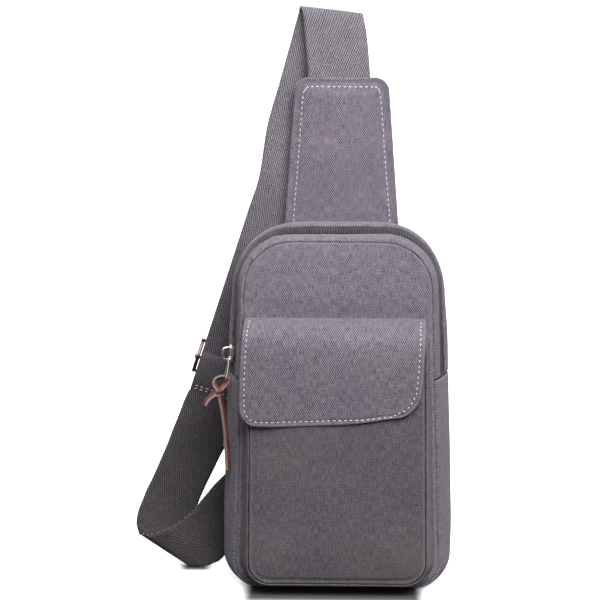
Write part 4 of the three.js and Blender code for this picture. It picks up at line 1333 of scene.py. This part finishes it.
def makeWebbing():
    along = Vector((math.cos(lean), 0, -math.sin(lean)))
    sewnIn = pad["middle"]
    crease = (0.99, 0, -0.11)
    upper = [
        ((0.0005, sewnIn, 0.395), (1, 0, 0.03)), ((-0.0008, sewnIn, 0.416), (1, 0, 0.06)),
        ((-0.003, 0.0422, 0.441), (1, 0, -0.02)), ((-0.005, 0.0446, 0.4558), crease),
        ((-0.0068, 0.0484, 0.4609), crease), ((-0.0088, 0.0522, 0.4558), crease),
        ((-0.0126, 0.053, 0.441), (0.98, 0, -0.18)), ((-0.0242, 0.0523, 0.398), (0.965, 0, -0.27)),
        ((-0.0350, 0.0518, 0.36), (0.96, 0, -0.29)), (onStrap(0.155), along), (onStrap(0.125), along),
        (onStrap(0.05), along), (onStrap(0), along), (onStrap(-strap["tail"]), along),
    ]
    # the strand is darkened into a painted shadow from about halfway down to the buckle and tail end
    obj, path = strapPiece("webbingUpper", upper, webbing, lambda u, w: smoothStep(w, 0.45, 0.8))
    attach(obj, "bag_body")
    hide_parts("webbing_upper")
    pathLength(path)

    turned = Matrix.Rotation(lean, 3, "Y")

    def onBuckle(y, z):
        return turned @ Vector((0, y, z)) + onStrap(strap["drop"])

    ahead, inner, outer = -0.0043, -0.0021, -0.0065
    fold = [(inner - 0.0013, -0.028), (inner - 0.0003, -0.02), (inner, -0.009), (inner, 0),
            (inner - 0.0006, 0.003),
            (ahead - 0.0008, 0.0052), (outer - 0.0012, 0.0034), (outer - 0.0022, -0.001),
            (outer - 0.0016, -0.009),
            (outer - 0.0003, -0.02), (outer + 0.0004, -0.028)]
    lower = [(onBuckle(y, z), along) for y, z in fold] + [
        ((-0.1035, 0.0456, 0.134), (0.93, 0.10, -0.31)), ((-0.1139, 0.044, 0.1105), (0.88, 0.30, -0.33)),
        ((-0.1232, 0.0405, 0.09), (0.83, 0.42, -0.33)), ((-0.1325, 0.035, 0.070), (0.79, 0.46, -0.37)),
        ((-0.1415, 0.0285, 0.050), (0.775, 0.42, -0.45)), ((-0.1468, 0.022, 0.033), (0.78, 0.30, -0.55)),
        ((-0.1474, 0.0182, 0.0235), (0.80, 0.16, -0.57)), ((-0.1452, 0.015, 0.0162), strap["crease"]),
    ]
    # the fold round the buckle's bar takes the paler colour: painted light on its top
    obj, path = strapPiece("webbingLower", lower, paintedShadeWebbing,
                           lambda u, w: 0.45 * (1 - smoothStep(w, 0.24, 0.32)))
    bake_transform(obj)
    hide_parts("webbing_fold")
    pathLength(path)
    foldPiece = obj

    square = (0.56, 0, -0.83)
    seam = body["back"] + 0.0003 + strap["thickness"] / 2
    back = [
        ((-0.1452, 0.015, 0.0162), strap["crease"]), ((-0.1365, 0.0125, 0.0157), (0.80, 0.12, -0.57)),
        ((-0.1235, 0.0145, 0.0187), (0.67, 0.22, -0.70)), ((-0.1105, 0.0235, 0.0248), (0.48, 0.18, -0.86)),
        ((-0.1, 0.0345, 0.0355), (0.42, 0.12, -0.90)), ((-0.0885, 0.0385, 0.0468), (0.5, 0.02, -0.86)),
        ((-0.077, seam + 0.0004, 0.058), square), ((-0.066, seam, 0.069), square),
        ((-0.056, seam, 0.0784), square),
    ]
    obj, path = strapPiece("webbingReturn", back, paintedShadeWebbing)
    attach(obj, "bag_body")
    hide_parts("webbing_lower")
    pathLength(path)

    lines = []
    for down in (-0.0235, -0.026):
        ends = [onBuckle(outer - 0.004, down) + along * side * 0.023 for side in (-1, 1)]
        lines.append(ends)
    seams = sew("foldStitches", foldPiece, lines, paleThread, {"length": 0.0026, "width": 0.0008})
    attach(seams, "buckle")

    corner = Matrix.Rotation(math.radians(strap["patchTurn"]), 3, "Y")
    wide, tall = strap["patch"]
    centre = Vector((-0.058, seam + strap["thickness"] / 2 + 0.0009, 0.077))

    def patchAt(u, w):
        spot = Vector(((u - 0.5) * wide, 0, (w - 0.5) * tall))
        edge = min(wide / 2 - abs(spot.x), tall / 2 - abs(spot.z))
        return corner @ spot + centre + Vector((0, 0.0006 - rolled(edge, 0.0012) * 0.7, 0))

    obj = clothGrid("strapPatch", 16, 36, patchAt, lambda u, w: (u * wide, w * tall), canvas,
                    lambda spot: Vector((0, 1, 0)))
    thicken(obj, cloth["canvas"])
    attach(obj, "bag_body")
    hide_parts("strap_patch")
    half, rise = wide / 2 - strap["patchHem"], tall / 2 - strap["patchHem"]
    frameLine = [corner @ Vector((x, 0.004, z)) + centre for x, z in
                 ((-half, -rise), (half, -rise), (half, rise), (-half, rise), (-half, -rise))]
    crossing = [[frameLine[0], frameLine[2]], [frameLine[1], frameLine[3]]]
    seams = sew("patchStitches", obj, [frameLine, *crossing], paleThread, {"length": 0.0028, "width": 0.0008})
    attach(seams, "bag_body")


makeWebbing()

buckle = {"bar": 0.003, "plate": 0.002, "side": 0.0006}


def rod(name, start, end, radius, material):
    return tubeMesh(name, [start, end], radius, material, sides=4)


def makeBuckle():
    turned = Matrix.Rotation(lean, 3, "Y")
    origin = onStrap(strap["drop"])
    halfIn = strap["width"] / 2 + buckle["side"]
    behind, ahead = 0.0022, -0.0043
    railX = halfIn + buckle["bar"] / 2
    pieces = []

    def put(x, y, z):
        return turned @ Vector((x, y, z)) + origin

    for z in (-0.0135, 0.0135):
        pieces.append(rod("bar", put(-railX, behind, z), put(railX, behind, z), 0.0014, darkMetal))
    pieces.append(rod("bar", put(-railX, ahead, 0), put(railX, ahead, 0), 0.00115, darkMetal))
    for side in (-1, 1):
        profile = [(behind, -0.015), (behind - 0.0006, -0.0114), ((behind + ahead) / 2, -0.0066),
                   (ahead, -0.0018),
                   (ahead, 0.0018), ((behind + ahead) / 2, 0.0066), (behind - 0.0006, 0.0114),
                   (behind, 0.015)]
        path = alongPath([put(side * railX, y, z) for y, z in profile], 48)
        rail = ribbonMesh("rail", path, [turned @ Vector((1, 0, 0))] * 49, buckle["bar"], buckle["plate"],
                          darkMetal, 2)
        edge = rail.modifiers.new("edge", "BEVEL")
        edge.width = 0.0007
        edge.segments = 3
        edge.limit_method = "ANGLE"
        pieces.append(settle(rail))
        knob = bmesh.new()
        bmesh.ops.create_uvsphere(knob, u_segments=16, v_segments=10, radius=0.0021,
                                  matrix=Matrix.Translation(put(side * (railX + 0.0008), ahead, 0)))
        pieces.append(meshFrom("knob", knob, darkMetal))
    obj = joinPieces("triglideBuckle", pieces)
    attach(obj, "buckle")
    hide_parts("triglide")


makeBuckle()
print("strap made")


mainSlider = {"seat": (-0.083913, -0.0205, 0.193), "out": (-0.9593, -0.2824), "length": 0.013,
              "width": 0.0086,
              "plateOut": 0.0009, "plateIn": -0.0034, "hang": 0.0015, "bailReach": 0.0062, "bailWire": 0.0018}
mainPull = {"eye": 0.002, "length": 0.017, "spread": 0.0034, "thickness": 0.0012, "lean": 12}
rearSlider = {"seat": (-0.089047, 0.03, 0.103), "out": (-0.9237, 0.3831), "length": 0.010, "width": 0.0066,
              "plateOut": 0.0016, "plateIn": -0.002, "hang": 0.001, "bailReach": 0.0042, "bailWire": 0.0013}
rearPull = {"eye": 0.0014, "length": 0.013, "spread": 0.0022, "thickness": 0.0011, "lean": 0}


def bevelledBlock(name, size, centre, taper, bevel, material):
    bm = bmesh.new()
    bmesh.ops.create_cube(bm, size=1)
    for vert in bm.verts:
        narrow = taper if vert.co.z < 0 else 1
        vert.co = Vector((vert.co.x * size[0], vert.co.y * size[1] * narrow,
                          vert.co.z * size[2])) + Vector(centre)
    bmesh.ops.bevel(bm, geom=bm.edges[:], offset=bevel, segments=3, profile=0.5, affect="EDGES", material=-1)
    return meshFrom(name, bm, material)


def makeSlider(names, nodes, bodies, slider, pull):
    out = Vector((*slider["out"], 0))
    up = Vector((0, 0, 1))
    side = up.cross(out)
    seat = Matrix((out, side, up)).transposed().to_4x4()
    seat.translation = slider["seat"]
    length, width = slider["length"], slider["width"]
    plate = 0.001
    high = slider["plateOut"]
    pieces = [
        bevelledBlock("plate", (plate, width, length), (high + plate / 2, 0, 0), 0.72, 0.0004, silver),
        bevelledBlock("plate", (plate, width, length), (slider["plateIn"] - plate / 2, 0, 0), 0.72, 0.0004,
                      silver),
        bevelledBlock("web", (high - slider["plateIn"], 0.0006, length * 0.4),
                      ((high + slider["plateIn"]) / 2, 0, length * 0.2),
                      1, 0.0001, silver),
        bevelledBlock("crown", (0.0009, width * 0.42, length * 0.82), (high + plate + 0.0002, 0, 0), 1,
                      0.0004, silver),
    ]
    for way in (-1, 1):
        pieces.append(bevelledBlock("flange", (0.0011, 0.0008, length * 0.62),
                                    (high - 0.0003, way * width * 0.46, length * 0.12), 1, 0.0003, silver))
    foot = length / 2 - 0.0016
    top = high + plate
    reach = slider["bailReach"]
    half = [(high + plate / 2, foot), (top + reach * 0.3, foot), (top + reach * 0.8, foot - 0.0003),
            (top + reach, foot - 0.0018)]
    bail = [Vector((x, 0, z)) for x, z in half] + [Vector((x, 0, -z)) for x, z in half[::-1]]
    pieces.append(tubeMesh("bail", alongPath(bail, 40), slider["bailWire"] / 2, silver))
    obj = joinPieces(names[0], pieces)
    obj.data.transform(seat)
    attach(obj, bodies[0])
    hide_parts(nodes[0])

    eye, thick = pull["eye"], pull["thickness"]
    hangs = eye - (thick + slider["bailWire"]) / 2 - 0.00015
    ring = [Vector((0, eye * math.cos(a), eye * math.sin(a) - hangs))
            for a in (k * math.pi / 16 for k in range(32))]
    foot = -pull["length"] + thick / 2
    pieces = [tubeMesh("ring", ring, thick / 2, silver, cyclic=True)]
    spread = pull["spread"]
    loop = [Vector((0, -eye * 0.5, -hangs - eye * 0.8)), Vector((0, -spread * 0.8, -pull["length"] * 0.55)),
            Vector((0, -spread, foot + 0.001)), Vector((0, -spread * 0.8, foot)),
            Vector((0, spread * 0.8, foot)),
            Vector((0, spread, foot + 0.001)), Vector((0, spread * 0.8, -pull["length"] * 0.55)),
            Vector((0, eye * 0.5, -hangs - eye * 0.8))]
    pieces.append(tubeMesh("legs", alongPath(loop, 70), thick / 2, silver))
    obj = joinPieces(names[1], pieces)
    hang = Matrix.Translation((slider["plateOut"] + 0.001 + slider["hang"], 0, 0.0016 - length / 2))
    obj.data.transform(seat @ hang @ Matrix.Rotation(math.radians(-pull["lean"]), 4, "Y"))
    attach(obj, bodies[1])
    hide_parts(nodes[1])


makeSlider(("mainSlider", "mainPull"), ("main_slider", "main_pull"), ("zip_slider", "zip_pull"), mainSlider,
           mainPull)
makeSlider(("rearSlider", "rearPull"), ("rear_slider", "rear_pull"), ("rear_zip_slider", "rear_zip_pull"),
           rearSlider, rearPull)
print("sliders made")


# each sun has its energy, height, turn and width in degrees; each painted contact shadow on the floor its
# middle, half size and fade
stage = {
    "suns": [("frontSun", 2.9, 52, 16, 40), ("rearSun", 1.9, 14, 188, 50)],
    "top": 5.6, "topPlace": (0.15, -0.55, 0.85), "topAim": (0, 0, 0.35), "ambient": 0.22, "backdrop": 1.05,
    "floor": 0.98, "bounce": 0.12, "contactShade": 0.1, "glow": 0.8,
    "paintedShadows": [(-0.003, -0.006, 0.065, 0.05, 0.014, 0.024), (-0.119, 0.016, 0.006, 0.002, 0.014, 0.012)],
}


def makeStage():
    bm = bmesh.new()
    bmesh.ops.create_grid(bm, x_segments=1, y_segments=1, size=6)
    material, tree, shader = newMaterial("paleFloor", Roughness=1.0, Specular_IOR_Level=0.0)
    seen = addNode(tree, "ShaderNodeLightPath").outputs["Is Camera Ray"]
    spot = addNode(tree, "ShaderNodeSeparateXYZ", {0: addNode(tree, "ShaderNodeTexCoord").outputs["Object"]})
    # the floor's colour and its glow fall away near the bag's base and the strap's tip: painted contact
    # shadows
    clear = 1.0
    for x, y, wide, deep, farX, farY in stage["paintedShadows"]:
        squares = []
        for axis, middle, half, far in ((0, x, wide, farX), (1, y, deep, farY)):
            apart = calc(tree, "ABSOLUTE", calc(tree, "SUBTRACT", spot.outputs[axis], middle))
            past = calc(tree, "MAXIMUM", calc(tree, "SUBTRACT", apart, half), 0.0)
            squares.append(calc(tree, "POWER", calc(tree, "DIVIDE", past, far), 2.0))
        away = calc(tree, "SQRT", plus(tree, *squares))
        near = addNode(tree, "ShaderNodeMapRange", {0: away, 1: 0.0, 2: 1.0, 3: 0.0, 4: 1.0},
                       interpolation_type="SMOOTHSTEP")
        clear = times(tree, clear, near.outputs[0])
    glow = times(tree, seen, clear)
    grey = calc(tree, "MULTIPLY_ADD", clear, stage["floor"] - stage["contactShade"], stage["contactShade"])
    pale = addNode(tree, "ShaderNodeCombineColor", {0: grey, 1: grey, 2: grey})
    shade = blendColour(tree, seen, (stage["bounce"],) * 3 + (1,), pale.outputs[0])
    tree.links.new(shade, shader.inputs["Base Color"])
    light = addNode(tree, "ShaderNodeEmission", {"Strength": times(tree, glow, stage["glow"])})
    both = addNode(tree, "ShaderNodeAddShader", {0: shader.outputs[0], 1: light.outputs[0]})
    tree.links.new(both.outputs[0], tree.nodes["Material Output"].inputs[0])
    floor = meshFrom("floor", bm, material)
    floor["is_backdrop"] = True

    world = bpy.data.worlds.new("studio")
    world.use_nodes = True
    scene.world = world
    tree = world.node_tree
    rays = addNode(tree, "ShaderNodeLightPath")
    seen = calc(tree, "MAXIMUM", rays.outputs["Is Camera Ray"], rays.outputs["Is Glossy Ray"])
    strength = calc(tree, "MULTIPLY_ADD", seen, stage["backdrop"] - stage["ambient"], stage["ambient"])
    tree.links.new(strength, tree.nodes["Background"].inputs["Strength"])
    tree.nodes["Background"].inputs["Color"].default_value = (1, 1, 1, 1)

    for name, energy, height, turn, angle in stage["suns"]:
        sun = bpy.data.lights.new(name, "SUN")
        sun.energy = energy
        sun.angle = math.radians(angle)
        lamp = bpy.data.objects.new(name, sun)
        turn, rise = math.radians(turn), math.radians(height)
        way = Vector((math.sin(turn) * math.cos(rise), -math.cos(turn) * math.cos(rise), math.sin(rise)))
        lamp.rotation_euler = way.to_track_quat("Z", "Y").to_euler()
        scene.collection.objects.link(lamp)

    light = bpy.data.lights.new("top", "AREA")
    light.energy = stage["top"]
    light.size = 0.5
    lamp = bpy.data.objects.new("top", light)
    spot = Vector(stage["topPlace"])
    lamp.location = spot
    lamp.rotation_euler = (spot - Vector(stage["topAim"])).to_track_quat("Z", "Y").to_euler()
    scene.collection.objects.link(lamp)
    scene.view_settings.view_transform = "Standard"


makeStage()
[[list(corner) for corner in box] for box in (cadBox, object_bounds())]
print("scene ready")
